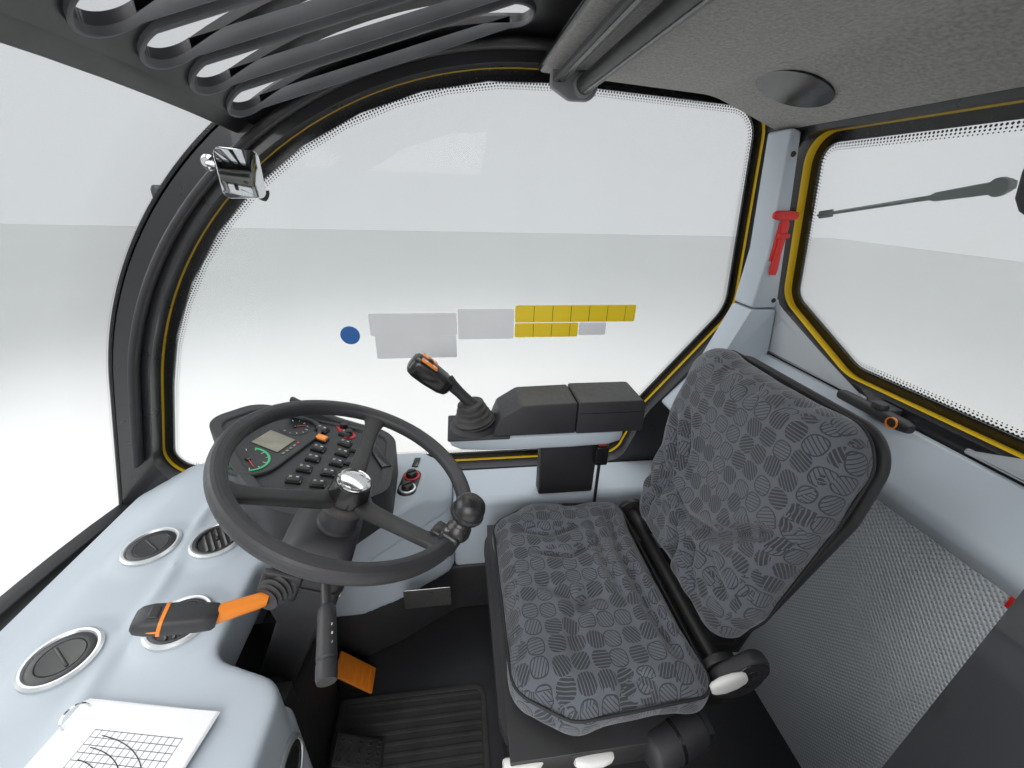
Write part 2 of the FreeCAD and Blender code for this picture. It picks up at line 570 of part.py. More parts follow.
# Seat: base and bellows on the floor, rails, sliding pan, cushion and folding back
node(plate("SeatBase", "XY", [rounded((-195, 195), (125, 440), 30)],
           "floor_level", "seat_base_top"), "seat_base")
node(plate("SeatBellows", "XY", [rounded((-182, 182), (138, 428), 30)],
           "seat_base_top", "rail_level"), "seat_bellows")
node(join("SeatRails", [
    block("RailPlate", (-205, 205), (112, 448), ("rail_level", "rail_level + 8")),
    block("RailRight", (-170, -140), (112, 448), ("rail_level + 8", "pan_level - bond_gap")),
    block("RailLeft", (140, 170), (112, 448), ("rail_level + 8", "pan_level - bond_gap"))]),
     "seat_rails")
pan_parts = [block("PanPlate", ("8 - seat_half", "seat_half - 8"),
                   ("seat_front_y + 8", "seat_rear_y"),
                   ("pan_level", "seat_top - cushion_thick - bond_gap"))]
pan_parts.append(block("PanTail", (ear_right - s.ear_thick, ear_left + s.ear_thick),
                       ("seat_rear_y - 5", "back_y + 20"),
                       ("pan_level", "seat_top - cushion_thick - bond_gap")))
pan_parts.append(block("BuckleFoot", (-275, -235), (385, 413), ("pan_level", "pan_level + 28")))
for side, start in (("Left", ear_left), ("Right", ear_right - s.ear_thick)):
    pan_parts.append(block("EarArm" + side, (start, start + s.ear_thick),
                           ("seat_rear_y + 4", "back_y + 26"), ("pan_level", "back_z - 10")))
    pan_parts.append(rod("EarDisc" + side, 34, "ear_thick", (start, "back_y", "back_z"), (1, 0, 0)))
pan_bore = rod("PanBore", "back_pin + bond_gap", "4 * seat_half",
               ("-2 * seat_half", "back_y", "back_z"), (1, 0, 0))
node(cut("SeatPan", join("PanSolid", pan_parts), pan_bore), "seat_pan")
node(plate("Cushion", "XY", [loop_edges([
    (60 - s.seat_half, s.seat_front_y, 70), (s.seat_half - 60, s.seat_front_y, 70),
    (s.seat_half, s.seat_front_y + 100, 80), (s.seat_half - 15, s.seat_rear_y, 50),
    (15 - s.seat_half, s.seat_rear_y, 50), (-s.seat_half, s.seat_front_y + 100, 80)])],
    "seat_top - cushion_thick", "seat_top"), "seat_cushion")
node(join("ReclinerCover", [
    rod("CoverDisc", 44, 26, (ear_left + s.ear_thick, 482, 594), (1, 0, 0)),
    block("CoverArm", (ear_left + s.ear_thick, ear_left + s.ear_thick + 22), (450, 528),
          (560, 650))]),
     "recliner_cover")
node(join("Buckle", [
    block("BuckleStem", (-284, -275), (388, 410), (496, 690)),
    block("BuckleHead", (-294, -266), (382, 416), (690, 745))]),
     "belt_buckle")

on_back = Placement(Vector(0, s.back_y, s.back_z), Rotation(Vector(1, 0, 0), -s.back_lean))
back_outline = [(-s.back_low_half, 34, 50), (s.back_low_half, 34, 50),
                (s.back_mid_half, 34 + 0.66 * s.back_height, 120),
                (s.back_top_half, 34 + s.back_height, 85), (-s.back_top_half, 34 + s.back_height, 85),
                (-s.back_mid_half, 34 + 0.66 * s.back_height, 120)]
back_outline = [(x + s.back_shift, z, radius) for x, z, radius in back_outline]
back_pad = plate("BackPad", "XZ", [loop_edges(back_outline)], "-25", "back_thick - 25")
node(back_pad, "back_cushion", on_back)
back_shell = plate("BackShell", "XZ", [loop_edges(grown(back_outline, -18))],
                   "back_thick - 25", "back_thick - 7")
node(back_shell, "back_shell", on_back)
node(join("BackBracket", [
    rod("BackTube", "back_pin + 5", ear_left - ear_right - 6, (ear_right + 3, 0, 0), (1, 0, 0)),
    rod("BackPin", "back_pin", ear_left - ear_right + 2 * s.ear_thick - 2,
        (ear_right - s.ear_thick + 1, 0, 0), (1, 0, 0)),
    block("BracketRight", (-170, -140), (0, "back_thick - 12"), (-8, 12)),
    block("BracketLeft", (110, 140), (0, "back_thick - 12"), (-8, 12)),
    block("BracketPost1", (-170, -140), ("back_thick - 24", "back_thick - 12"), (0, 51.7)),
    block("BracketPost2", (110, 140), ("back_thick - 24", "back_thick - 12"), (0, 51.7))]),
     "back_bracket", on_back)

# Arm console on its post, with the joystick
node(join("ArmSupport", [
    plate("ArmTray", "XY", [rounded((s.arm_x + 4, s.arm_x + s.arm_width - 6),
                                    (s.arm_front_y, s.arm_rear_y - 40), 30)],
          "arm_under", "arm_level"),
    block("ArmPost", (-348, -306), (250, 400), ("console_top", "arm_under + 2"))]), "arm_support")
node(plate("ArmPad", "YZ", [loop_edges([
    (s.pad_front_y, s.arm_level, 0), (s.pad_front_y, s.arm_top - 30, 20),
    (s.pad_front_y + 50, s.arm_top, 30), (s.arm_rear_y, s.arm_top, 25),
    (s.arm_rear_y, s.arm_level, 0)])], "arm_x", "arm_x + arm_width"), "arm_pad")
stick = (-300, 82)
boot = doc.addObject("Part::Cone", "StickBoot")
boot.Radius1, boot.Radius2, boot.Height = 44, 20, 52
boot.Placement.Base = Vector(stick[0], stick[1], s.arm_level)
node(join("Joystick", [
    boot, bar("StickStem", stick + (s.arm_level + 40,), (stick[0], stick[1] - 45, 905), 12),
    bar("StickGrip", (stick[0], stick[1] - 40, 898), (stick[0], stick[1] - 105, 955), 24)]),
     "joystick")

# Mirror, roller blind, wipers and lamps
post_face = -inner_half + s.trim_thick
mirror_centre = Vector(110 - inner_half, *on_bend(open_radius - 28, 127.4))
mirror_foot = Vector(post_face + 5.8, *on_bend(open_radius + 37, 130.4))
mirror_case = doc.addObject("Part::Compound", "MirrorCase")
mirror_case.Links = [plate("MirrorBody", "XZ", [rounded((-52, 52), (-48, 48), 20)], -14, 14)]
mirror_case.Placement = Placement(mirror_centre, Rotation(Vector(0, 0, 1), -28))
node(join("Mirror", [mirror_case, bar("MirrorArm", tuple(mirror_foot),
                                      tuple(mirror_centre + Vector(-24, 6, 10)), 7)]),
     "cab_mirror")
node(join("Blind", [
    rod("BlindTube", 16, 2 * inner_half - 120, (60 - inner_half, 300, liner_level - 29), (1, 0, 0)),
    block("BlindEnd1", (44 - inner_half, 62 - inner_half), (278, 322),
          (liner_level - 51, liner_level - 6)),
    block("BlindEnd2", (inner_half - 62, inner_half - 44), (278, 322),
          (liner_level - 51, liner_level - 6))]), "roller_blind")

screen_y, screen_z = on_bend(s.bend_radius + s.pane, s.rake_angle)
wiper_x = 300
screen_out = crown(wiper_x)


def on_screen(x, reach, off):
    """A point off the outer face of the windscreen, below the bend's end."""
    turn = math.radians(s.rake_angle)
    out = s.bend_radius + s.pane + crown(x) + off
    return (x, s.bend_y + out * math.cos(turn) - reach * math.sin(turn),
            s.bend_z + out * math.sin(turn) + reach * math.cos(turn))


def on_rear(x, up, off):
    """A point off the outer face of the rear window, up from its foot."""
    turn = math.radians(lean)
    out = s.pane + off
    return (x, pane_foot.y - up * math.sin(turn) + out * math.cos(turn),
            pane_foot.z + up * math.cos(turn) + out * math.sin(turn))


node(join("Wipers", [
    bar("FrontPivot", on_screen(wiper_x, 350, 2), on_screen(wiper_x, 350, 22), 14),
    bar("FrontArm", on_screen(wiper_x, 350, 16), on_screen(wiper_x, -20, 10), 5),
    bar("RearPivot", on_rear(-30, 380, 0.5), on_rear(-30, 380, 24), 13),
    bar("RearArm", on_rear(-30, 380, 16), on_rear(-350, 325, 9), 5)]), "wipers")
motor_top = 1430
motor_rear = pane_foot.y - (motor_top - pane_foot.z) * math.tan(math.radians(lean)) - s.bond_gap
node(block("WiperMotor", (26, 146), (motor_rear - 36, motor_rear), (motor_top - 130, motor_top)),
     "wiper_motor")

lamps = []
lamp_y, lamp_z = on_bend(s.bend_radius - 10, 138.4)
for side in (-1, 1):
    near, far = "%d * (cab_half + 12)" % side, "%d * (cab_half + 88)" % side
    face = "%d * cab_half" % side
    span = (far, near) if side < 0 else (near, far)
    foot = (near, face) if side < 0 else (face, near)
    lamps.append(block("LampFoot%+d" % side, foot, (lamp_y - 19, lamp_y + 19),
                       (lamp_z - 16, lamp_z + 16)))
    lamps.append(block("LampCase%+d" % side, span, (lamp_y - 60, lamp_y + 15),
                       (lamp_z - 34, lamp_z + 36)))
node(join("Lamps", lamps), "work_lamps")

# Door, made shut and then swung open about its hinge pins
on_door = Placement(Vector(0, 0, 0), Rotation(Vector(0, 0, 1), s.door_open),
                    Vector(hinge_x, s.hinge_y, 0))
shut_face = s.cab_half + s.door_gap
inset = grown(doorway, -s.door_border)
bar_half = 22
pane_radius = open_radius - s.door_border
upper = [(front_y(pane_radius, s.door_bar + bar_half), s.door_bar + bar_half, 18),
         inset[2], inset[3], (inset[4][0], s.door_bar + bar_half, 30)]
lower = [inset[0], inset[1],
         (front_y(pane_radius, s.door_bar - bar_half), s.door_bar - bar_half, 30),
         (inset[4][0], s.door_bar - bar_half, 30), inset[4]]
leaf = plate("DoorLeaf", "YZ", [loop_edges(grown(doorway, s.door_lap)), loop_edges(upper),
                                loop_edges(lower)],
             "cab_half + door_gap", "cab_half + door_gap + door_thick")
knuckles = []
posts = []
for i, level in enumerate(("hinge_low", "hinge_high")):
    posts.append(rod("PostKnuckle%d" % i, "hinge_radius", 40, (hinge_x, "hinge_y", level + " - 20")))
    posts.append(block("PostPlate%d" % i, ("cab_half", hinge_x), ("hinge_y - 8", "hinge_y + 8"),
                       (level + " - 20", level + " + 20")))
    knuckles.append(rod("DoorPin%d" % i, "hinge_pin", 84, (hinge_x, "hinge_y", level + " - 42")))
    for start, end in ((" - 42", " - 20.5"), (" + 20.5", " + 42")):
        tag = "%d%s" % (i, "low" if "-" in start else "high")
        knuckles.append(rod("DoorKnuckle" + tag, "hinge_radius", 21.5,
                            (hinge_x, "hinge_y", level + start)))
        knuckles.append(block("DoorStrap" + tag, (hinge_x - 10, hinge_x + 10),
                              ("door_rear_y + door_lap - 2", "hinge_y"),
                              (level + start, level + end)))
post_bores = [rod("PostBore%d" % i, "hinge_pin + bond_gap", 60,
                  (hinge_x, "hinge_y", level + " - 30"))
              for i, level in enumerate(("hinge_low", "hinge_high"))]
node(cut("DoorHinges", join("HingePosts", posts), join("HingeBores", post_bores)), "door_hinges")
node(join("DoorFrame", [leaf] + knuckles), "door_frame", on_door)
panes = [plate("DoorGlass" + label, "YZ", [loop_edges(grown(outline, 14))],
               "cab_half + door_gap + door_thick", "cab_half + door_gap + door_thick + pane")
         for label, outline in (("Upper", upper), ("Lower", lower))]
node(join("DoorGlass", panes), "door_glass", on_door)
handle_y = front_y(pane_radius, s.door_bar) + 35
outer_face = shut_face + s.door_thick + s.pane
node(join("DoorHandles", [
    block("InnerPull", (shut_face - 34, shut_face - 16), (handle_y, handle_y + 150),
          (s.door_bar - 12, s.door_bar + 12)),
    block("PullFoot1", (shut_face - 16, shut_face), (handle_y, handle_y + 20),
          (s.door_bar - 10, s.door_bar + 10)),
    block("PullFoot2", (shut_face - 16, shut_face), (handle_y + 130, handle_y + 150),
          (s.door_bar - 10, s.door_bar + 10)),
    block("OuterPull", (outer_face + 20, outer_face + 32), (handle_y, handle_y + 120),
          (s.door_bar - 10, s.door_bar + 10)),
    block("OuterFoot", (outer_face - s.pane, outer_face + 20), (handle_y, handle_y + 26),
          (s.door_bar - 7, s.door_bar + 7))]), "door_handles", on_door)

doc.recompute()
faults = [item.Name for item in doc.Objects
          if "Invalid" in item.State or "Error" in item.State]
faults += [item.Label for item in nodes if item.Shape.isNull() or not item.Shape.isValid()]
if faults:
    raise RuntimeError("failed: " + ", ".join(faults))
for item in nodes:
    item.Shape.exportStep("parts/%s.step" % item.Label)
print("%d nodes" % len(nodes))
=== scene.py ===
import math

import bpy
from mathutils import Matrix, Vector, bvhtree, noise


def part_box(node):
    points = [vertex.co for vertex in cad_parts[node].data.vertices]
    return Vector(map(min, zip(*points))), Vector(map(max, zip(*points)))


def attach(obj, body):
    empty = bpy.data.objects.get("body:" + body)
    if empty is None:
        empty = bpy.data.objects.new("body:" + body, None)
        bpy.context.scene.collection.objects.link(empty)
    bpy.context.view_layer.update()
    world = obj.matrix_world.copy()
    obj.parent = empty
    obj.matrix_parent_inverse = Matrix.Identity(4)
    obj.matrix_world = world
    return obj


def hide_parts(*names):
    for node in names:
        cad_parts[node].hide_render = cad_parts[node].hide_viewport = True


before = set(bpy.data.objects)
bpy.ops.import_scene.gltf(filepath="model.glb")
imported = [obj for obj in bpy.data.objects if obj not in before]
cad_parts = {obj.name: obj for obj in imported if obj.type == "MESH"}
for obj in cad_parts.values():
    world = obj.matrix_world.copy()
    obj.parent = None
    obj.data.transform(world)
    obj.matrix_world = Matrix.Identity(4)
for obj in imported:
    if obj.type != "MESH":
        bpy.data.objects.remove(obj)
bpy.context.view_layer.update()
print("cab frame loaded")


def deselectAll():
    if bpy.context.mode != "OBJECT":
        bpy.ops.object.mode_set(mode="OBJECT")
    bpy.ops.object.select_all(action="DESELECT")


def pick(obj):
    deselectAll()
    obj.select_set(True)
    bpy.context.view_layer.objects.active = obj
    return obj


def editAll(obj, selectMode="FACE"):
    pick(obj)
    bpy.ops.object.mode_set(mode="EDIT")
    bpy.ops.mesh.select_mode(type=selectMode)
    bpy.ops.mesh.select_all(action="SELECT")


def editFaces(obj, wanted):
    # edit mode with only the faces for which wanted(centre, normal) is true
    pick(obj)
    for polygon in obj.data.polygons:
        polygon.select = False
    for edge in obj.data.edges:
        edge.select = False
    for vertex in obj.data.vertices:
        vertex.select = False
    for polygon in obj.data.polygons:
        polygon.select = bool(wanted(polygon.center, polygon.normal))
    bpy.ops.object.mode_set(mode="EDIT")
    bpy.ops.mesh.select_mode(type="FACE")


def objectMode():
    bpy.ops.object.mode_set(mode="OBJECT")


def modify(obj, kind, **settings):
    pick(obj)
    modifier = obj.modifiers.new(kind.title(), kind)
    for key, value in settings.items():
        setattr(modifier, key, value)
    bpy.ops.object.modifier_apply(modifier=modifier.name)
    return obj


def applyPlace(obj):
    pick(obj)
    bpy.ops.object.transform_apply(location=True, rotation=True, scale=True)
    return obj


def fixNormals(obj, merge=0.00002):
    editAll(obj)
    bpy.ops.mesh.remove_doubles(threshold=merge)
    bpy.ops.mesh.normals_make_consistent(inside=False)
    objectMode()
    return obj


def smooth(obj, angle=35):
    pick(obj)
    bpy.ops.object.shade_smooth_by_angle(angle=math.radians(angle))
    return obj


def joinAll(objects):
    deselectAll()
    for obj in objects:
        obj.select_set(True)
    bpy.context.view_layer.objects.active = objects[0]
    if len(objects) > 1:
        bpy.ops.object.join()
    return bpy.context.view_layer.objects.active


def setMaterials(obj, *materials):
    obj.data.materials.clear()
    for material in materials:
        obj.data.materials.append(material)
    return obj


def finishPiece(obj, name, body="cab", replaces=(), angle=35):
    applyPlace(obj)
    if angle:
        smooth(obj, angle)
    obj.name = name
    obj.data.name = name
    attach(obj, body)
    if replaces:
        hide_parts(*replaces)
    return obj


def roundCorners(corners, steps=8):
    # points round a closed outline of (u, v, radius) corners
    points = []
    count = len(corners)
    for i, (u, v, radius) in enumerate(corners):
        here = Vector((u, v))
        if radius == 0:
            points.append(here)
            continue
        back = (Vector(corners[i - 1][:2]) - here).normalized()
        ahead = (Vector(corners[(i + 1) % count][:2]) - here).normalized()
        half = back.angle(ahead) / 2
        centre = here + (back + ahead).normalized() * (radius / math.sin(half))
        first = here + back * (radius / math.tan(half)) - centre
        last = here + ahead * (radius / math.tan(half)) - centre
        sweep = first.angle_signed(last)
        parts = max(2, int(steps * abs(sweep) / (math.pi / 2) + 0.99))
        for j in range(parts + 1):
            turn = -sweep * j / parts
            points.append(centre + Matrix.Rotation(turn, 2) @ first)
    cleaned = [points[0]]
    for point in points[1:]:
        if (point - cleaned[-1]).length > 1e-5:
            cleaned.append(point)
    if (cleaned[0] - cleaned[-1]).length < 1e-5:
        cleaned.pop()
    return cleaned


def onPlane(plane, u, v, level):
    return {"XY": (u, v, level), "XZ": (u, level, v), "YZ": (level, u, v)}[plane]


def outlineFace(points, plane, level):
    bpy.ops.mesh.primitive_circle_add(vertices=len(points), fill_type="NGON", location=(0, 0, 0))
    obj = bpy.context.object
    for vertex, (u, v) in zip(obj.data.vertices, points):
        vertex.co = onPlane(plane, u, v, level)
    return obj


def prism(points, plane, start, end, round=0, segments=3):
    # an outline extruded along the plane's normal, its rims rounded over
    obj = outlineFace(points, plane, start)
    editAll(obj)
    bpy.ops.mesh.extrude_region_move(
        TRANSFORM_OT_translate={"value": onPlane(plane, 0, 0, end - start)})
    objectMode()
    fixNormals(obj)
    if round:
        modify(obj, "BEVEL", width=round, segments=segments, limit_method="ANGLE",
               angle_limit=math.radians(50))
    return obj


def roundedBox(centre, size, round=0.004, segments=3, turn=(0, 0, 0)):
    bpy.ops.mesh.primitive_cube_add(size=1, location=centre, scale=size,
                                    rotation=[math.radians(a) for a in turn])
    obj = bpy.context.object
    pick(obj)
    bpy.ops.object.transform_apply(location=False, rotation=False, scale=True)
    modify(obj, "BEVEL", width=round, segments=segments, limit_method="NONE")
    return applyPlace(obj)


def turned(profile, centre=(0, 0, 0), direction=(0, 0, 1), steps=40):
    # a closed profile of (radius, height) pairs spun about its axis
    bpy.ops.mesh.primitive_circle_add(vertices=len(profile), fill_type="NOTHING",
                                      location=(0, 0, 0))
    obj = bpy.context.object
    for vertex, (radius, height) in zip(obj.data.vertices, profile):
        vertex.co = (radius, 0, height)
    editAll(obj, "EDGE")
    bpy.ops.mesh.spin(steps=steps, angle=2 * math.pi, center=(0, 0, 0), axis=(0, 0, 1))
    bpy.ops.mesh.select_all(action="SELECT")
    bpy.ops.mesh.remove_doubles(threshold=0.00001)
    bpy.ops.mesh.dissolve_degenerate(threshold=0.00001)
    bpy.ops.mesh.normals_make_consistent(inside=False)
    objectMode()
    toAxis = Vector((0, 0, 1)).rotation_difference(Vector(direction)).to_matrix().to_4x4()
    obj.matrix_world = Matrix.Translation(Vector(centre)) @ toAxis
    return applyPlace(obj)


def tube(points, radius, bevelSteps=4, order=3, cyclic=False, radii=None):
    # a smooth round rod through control points
    bpy.ops.curve.primitive_nurbs_path_add(location=(0, 0, 0))
    curve = bpy.context.object
    spline = curve.data.splines[0]
    while len(spline.points) < len(points):
        spline.points.add(1)
    if len(spline.points) > len(points):
        curve.data.splines.remove(spline)
        spline = curve.data.splines.new("NURBS")
        spline.points.add(len(points) - 1)
    for i, (point, place) in enumerate(zip(spline.points, points)):
        point.co = (*place, 1)
        point.radius = radii[i] if radii else 1
    spline.order_u = min(order, len(points))
    spline.use_endpoint_u = not cyclic
    spline.use_cyclic_u = cyclic
    spline.resolution_u = 10
    curve.data.bevel_depth = radius
    curve.data.bevel_resolution = bevelSteps
    curve.data.use_fill_caps = not cyclic
    pick(curve)
    bpy.ops.object.convert(target="MESH")
    return fixNormals(bpy.context.object)


def copyOfNode(name):
    # an unparented copy of a CAD node, its loose triangles merged to flat faces
    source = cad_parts[name]
    copy = source.copy()
    copy.data = source.data.copy()
    for key in list(copy.keys()):
        del copy[key]
    copy.parent = None
    bpy.context.scene.collection.objects.link(copy)
    editAll(copy)
    bpy.ops.mesh.remove_doubles(threshold=0.00001)
    bpy.ops.mesh.dissolve_limited(angle_limit=math.radians(1))
    objectMode()
    return copy


def newMaterial(name):
    material = bpy.data.materials.new(name)
    material.use_nodes = True
    return material, material.node_tree.nodes, material.node_tree.links, \
        material.node_tree.nodes["Principled BSDF"]


def surface(name, colour, rough, metal=0.0, grain=None, mottle=(6, 0.08), roughSpread=0.08,
            sheen=0.0, coat=0.0, specular=0.5):
    # colour drifts with a slow noise, roughness with a quicker one, and a fine grain lifts it
    material, nodes, links, shader = newMaterial(name)
    place = nodes.new("ShaderNodeTexCoord")
    slow = nodes.new("ShaderNodeTexNoise")
    slow.inputs["Scale"].default_value = mottle[0]
    slow.inputs["Detail"].default_value = 5
    links.new(place.outputs["Object"], slow.inputs["Vector"])
    ramp = nodes.new("ShaderNodeValToRGB")
    ramp.color_ramp.elements[0].position = 0.3
    ramp.color_ramp.elements[1].position = 0.7
    low, high = 1 - mottle[1], 1 + mottle[1]
    ramp.color_ramp.elements[0].color = (*[c * low for c in colour], 1)
    ramp.color_ramp.elements[1].color = (*[min(c * high, 1) for c in colour], 1)
    links.new(slow.outputs["Fac"], ramp.inputs["Fac"])
    links.new(ramp.outputs["Color"], shader.inputs["Base Color"])
    quick = nodes.new("ShaderNodeTexNoise")
    quick.inputs["Scale"].default_value = mottle[0] * 7
    quick.inputs["Detail"].default_value = 6
    links.new(place.outputs["Object"], quick.inputs["Vector"])
    span = nodes.new("ShaderNodeMapRange")
    span.inputs["To Min"].default_value = max(rough - roughSpread, 0.03)
    span.inputs["To Max"].default_value = min(rough + roughSpread, 1)
    links.new(quick.outputs["Fac"], span.inputs["Value"])
    links.new(span.outputs["Result"], shader.inputs["Roughness"])
    shader.inputs["Metallic"].default_value = metal
    shader.inputs["Specular IOR Level"].default_value = specular
    shader.inputs["Sheen Weight"].default_value = sheen
    shader.inputs["Coat Weight"].default_value = coat
    if grain:
        fine = nodes.new("ShaderNodeTexNoise")
        fine.inputs["Scale"].default_value = grain[0]
        fine.inputs["Detail"].default_value = 2
        links.new(place.outputs["Object"], fine.inputs["Vector"])
        bump = nodes.new("ShaderNodeBump")
        bump.inputs["Strength"].default_value = grain[1]
        bump.inputs["Distance"].default_value = grain[2]
        links.new(fine.outputs["Fac"], bump.inputs["Height"])
        links.new(bump.outputs["Normal"], shader.inputs["Normal"])
    return material


def loft(sections, closed=True, caps=True):
    # a skin through rows of points, one row after another
    columns = len(sections[0]) + (1 if closed else 0)
    deselectAll()
    bpy.ops.mesh.primitive_grid_add(x_subdivisions=columns - 1, y_subdivisions=len(sections) - 1,
                                    size=1, location=(0, 0, 0))
    obj = bpy.context.object
    for j, section in enumerate(sections):
        for i in range(columns):
            obj.data.vertices[j * columns + i].co = section[i % len(section)]
    editAll(obj)
    bpy.ops.mesh.remove_doubles(threshold=0.00002)
    if closed and caps:
        bpy.ops.mesh.select_all(action="DESELECT")
        bpy.ops.mesh.select_mode(type="EDGE")
        bpy.ops.mesh.select_non_manifold()
        bpy.ops.mesh.edge_face_add()
        bpy.ops.mesh.select_all(action="SELECT")
    bpy.ops.mesh.normals_make_consistent(inside=False)
    objectMode()
    return obj


def tapered(stations, sides=20):
    # a rounded bar through stations of (centre, width vector, height vector), squared by power
    rows = []
    for centre, wide, high, power in stations:
        row = []
        for i in range(sides):
            turn = 2 * math.pi * i / sides
            c, s = math.cos(turn), math.sin(turn)
            row.append(Vector(centre) + Vector(wide) * math.copysign(abs(c) ** power, c)
                       + Vector(high) * math.copysign(abs(s) ** power, s))
        rows.append(row)
    return loft(rows)


def sheetOf(loops, plane, start, end, round=0, segments=2):
    # an outline with holes, filled and given its thickness
    rings = []
    for points in loops:
        deselectAll()
        bpy.ops.mesh.primitive_circle_add(vertices=len(points), fill_type="NOTHING",
                                          location=(0, 0, 0))
        ring = bpy.context.object
        for vertex, (u, v) in zip(ring.data.vertices, points):
            vertex.co = onPlane(plane, u, v, start)
        rings.append(ring)
    obj = joinAll(rings)
    editAll(obj, "EDGE")
    bpy.ops.mesh.fill(use_beauty=True)
    bpy.ops.mesh.select_all(action="SELECT")
    bpy.ops.mesh.extrude_region_move(
        TRANSFORM_OT_translate={"value": onPlane(plane, 0, 0, end - start)})
    objectMode()
    fixNormals(obj)
    if round:
        modify(obj, "BEVEL", width=round, segments=segments, limit_method="ANGLE",
               angle_limit=math.radians(50))
    return obj


def dotRow(points, pitch, radius, matrix=Matrix(), standing=False, closed=True):
    # small printed discs along an outline, flat in its plane or standing across it
    deselectAll()
    bpy.ops.curve.primitive_nurbs_path_add(location=(0, 0, 0))
    path = bpy.context.object
    path.data.splines.remove(path.data.splines[0])
    path.data.dimensions = "2D"
    spline = path.data.splines.new("POLY")
    spline.points.add(len(points) - 1)
    for point, (u, v) in zip(spline.points, points):
        point.co = (u, v, 0, 1)
    spline.use_cyclic_u = closed
    ends = points[1:] + (points[:1] if closed else [])
    length = sum((Vector(a) - Vector(b)).length for a, b in zip(points, ends))
    deselectAll()
    bpy.ops.mesh.primitive_cylinder_add(vertices=6, radius=radius, depth=0.0003,
                                        location=(0, 0, 0),
                                        rotation=(math.pi / 2 if standing else 0, 0, 0))
    dot = applyPlace(bpy.context.object)
    modify(dot, "ARRAY", use_relative_offset=False, use_constant_offset=True,
           constant_offset_displace=(pitch, 0, 0), count=int(length / pitch))
    modify(dot, "CURVE", object=path, deform_axis="POS_X")
    deselectAll()
    path.select_set(True)
    bpy.ops.object.delete()
    return placed(dot, matrix)


def placed(obj, matrix):
    obj.matrix_world = matrix @ obj.matrix_world
    return applyPlace(obj)


def copied(obj, matrix=Matrix()):
    twin = obj.copy()
    twin.data = obj.data.copy()
    bpy.context.scene.collection.objects.link(twin)
    return placed(twin, matrix)


def softened(name, width, segments=3, angle=40):
    # a copy of a CAD node with its sharp rims rounded over
    obj = copyOfNode(name)
    return modify(obj, "BEVEL", width=width, segments=segments, limit_method="ANGLE",
                  angle_limit=math.radians(angle), use_clamp_overlap=True)


def moulded(nodes, voxel, rounds, extra=()):
    # copies of CAD nodes run together as one moulding with soft corners
    obj = joinAll([copyOfNode(name) for name in nodes] + list(extra))
    modify(obj, "REMESH", mode="VOXEL", voxel_size=voxel, use_smooth_shade=True)
    modify(obj, "SMOOTH", factor=0.5, iterations=rounds)
    return obj


# The post and roof rail follow one bend about an axis across the cab
bend = {"y": 0.222, "z": 0.598, "radius": 1.02, "rake": 164.3, "roof": 87.3, "post": 0.075,
        "paneHalf": 0.484, "bow": 0.045, "innerHalf": 0.44, "outerHalf": 0.49}


def onBend(radius, angle):
    turn = math.radians(angle)
    return bend["y"] + radius * math.cos(turn), bend["z"] + radius * math.sin(turn)


def bendCorner(radius):
    half = (bend["rake"] - bend["roof"]) / 2
    return onBend(radius / math.cos(math.radians(half)), bend["rake"] - half) + (radius,)


def frontY(radius, z):
    y, top = onBend(radius, bend["rake"])
    return y + (z - top) * math.tan(math.radians(180 - bend["rake"]))


def roofZ(radius, y):
    startY, startZ = onBend(radius, bend["roof"])
    return startZ - (y - startY) / math.tan(math.radians(bend["roof"]))


def crown(x):
    across = (bend["paneHalf"] ** 2 + bend["bow"] ** 2) / (2 * bend["bow"])
    return math.sqrt(across ** 2 - x ** 2) - across + bend["bow"]


def grown(corners, distance):
    pairs = zip(corners, corners[1:] + corners[:1])
    side = math.copysign(1, sum(a[0] * b[1] - b[0] * a[1] for a, b in pairs))
    moved = []
    for i, (u, v, radius) in enumerate(corners):
        before, after = corners[i - 1], corners[(i + 1) % len(corners)]
        into = Vector((u - before[0], v - before[1])).normalized()
        out = Vector((after[0] - u, after[1] - v)).normalized()
        shift = Vector((into.y + out.y, -into.x - out.x)) * side * (distance / (1 + into.dot(out)))
        cross = into.x * out.y - into.y * out.x
        moved.append((u + shift.x, v + shift.y,
                      max(radius + math.copysign(1, cross * side) * distance, 0)))
    return moved


def bentStrip(edgeX, low, high, startAngle, sweep, straight=0.0, steps=24):
    # a band that follows the bend, between two distances from the middle and two radii
    rows = []
    for reach in ([straight] if straight else []):
        rows.append((startAngle, reach))
    rows += [(startAngle - sweep * i / steps, 0) for i in range(steps + 1)]
    sections = []
    for angle, back in rows:
        turn = math.radians(angle)
        ahead = Vector((0, math.sin(turn), -math.cos(turn))) * -back
        row = []
        for x, radius in [(x, low) for x in edgeX] + [(x, high) for x in reversed(edgeX)]:
            out = radius + crown(x)
            row.append(Vector((x, bend["y"] + out * math.cos(turn),
                               bend["z"] + out * math.sin(turn))) + ahead)
        sections.append(row)
    return loft(sections)


def spread(first, last, count):
    return [first + (last - first) * i / (count - 1) for i in range(count)]


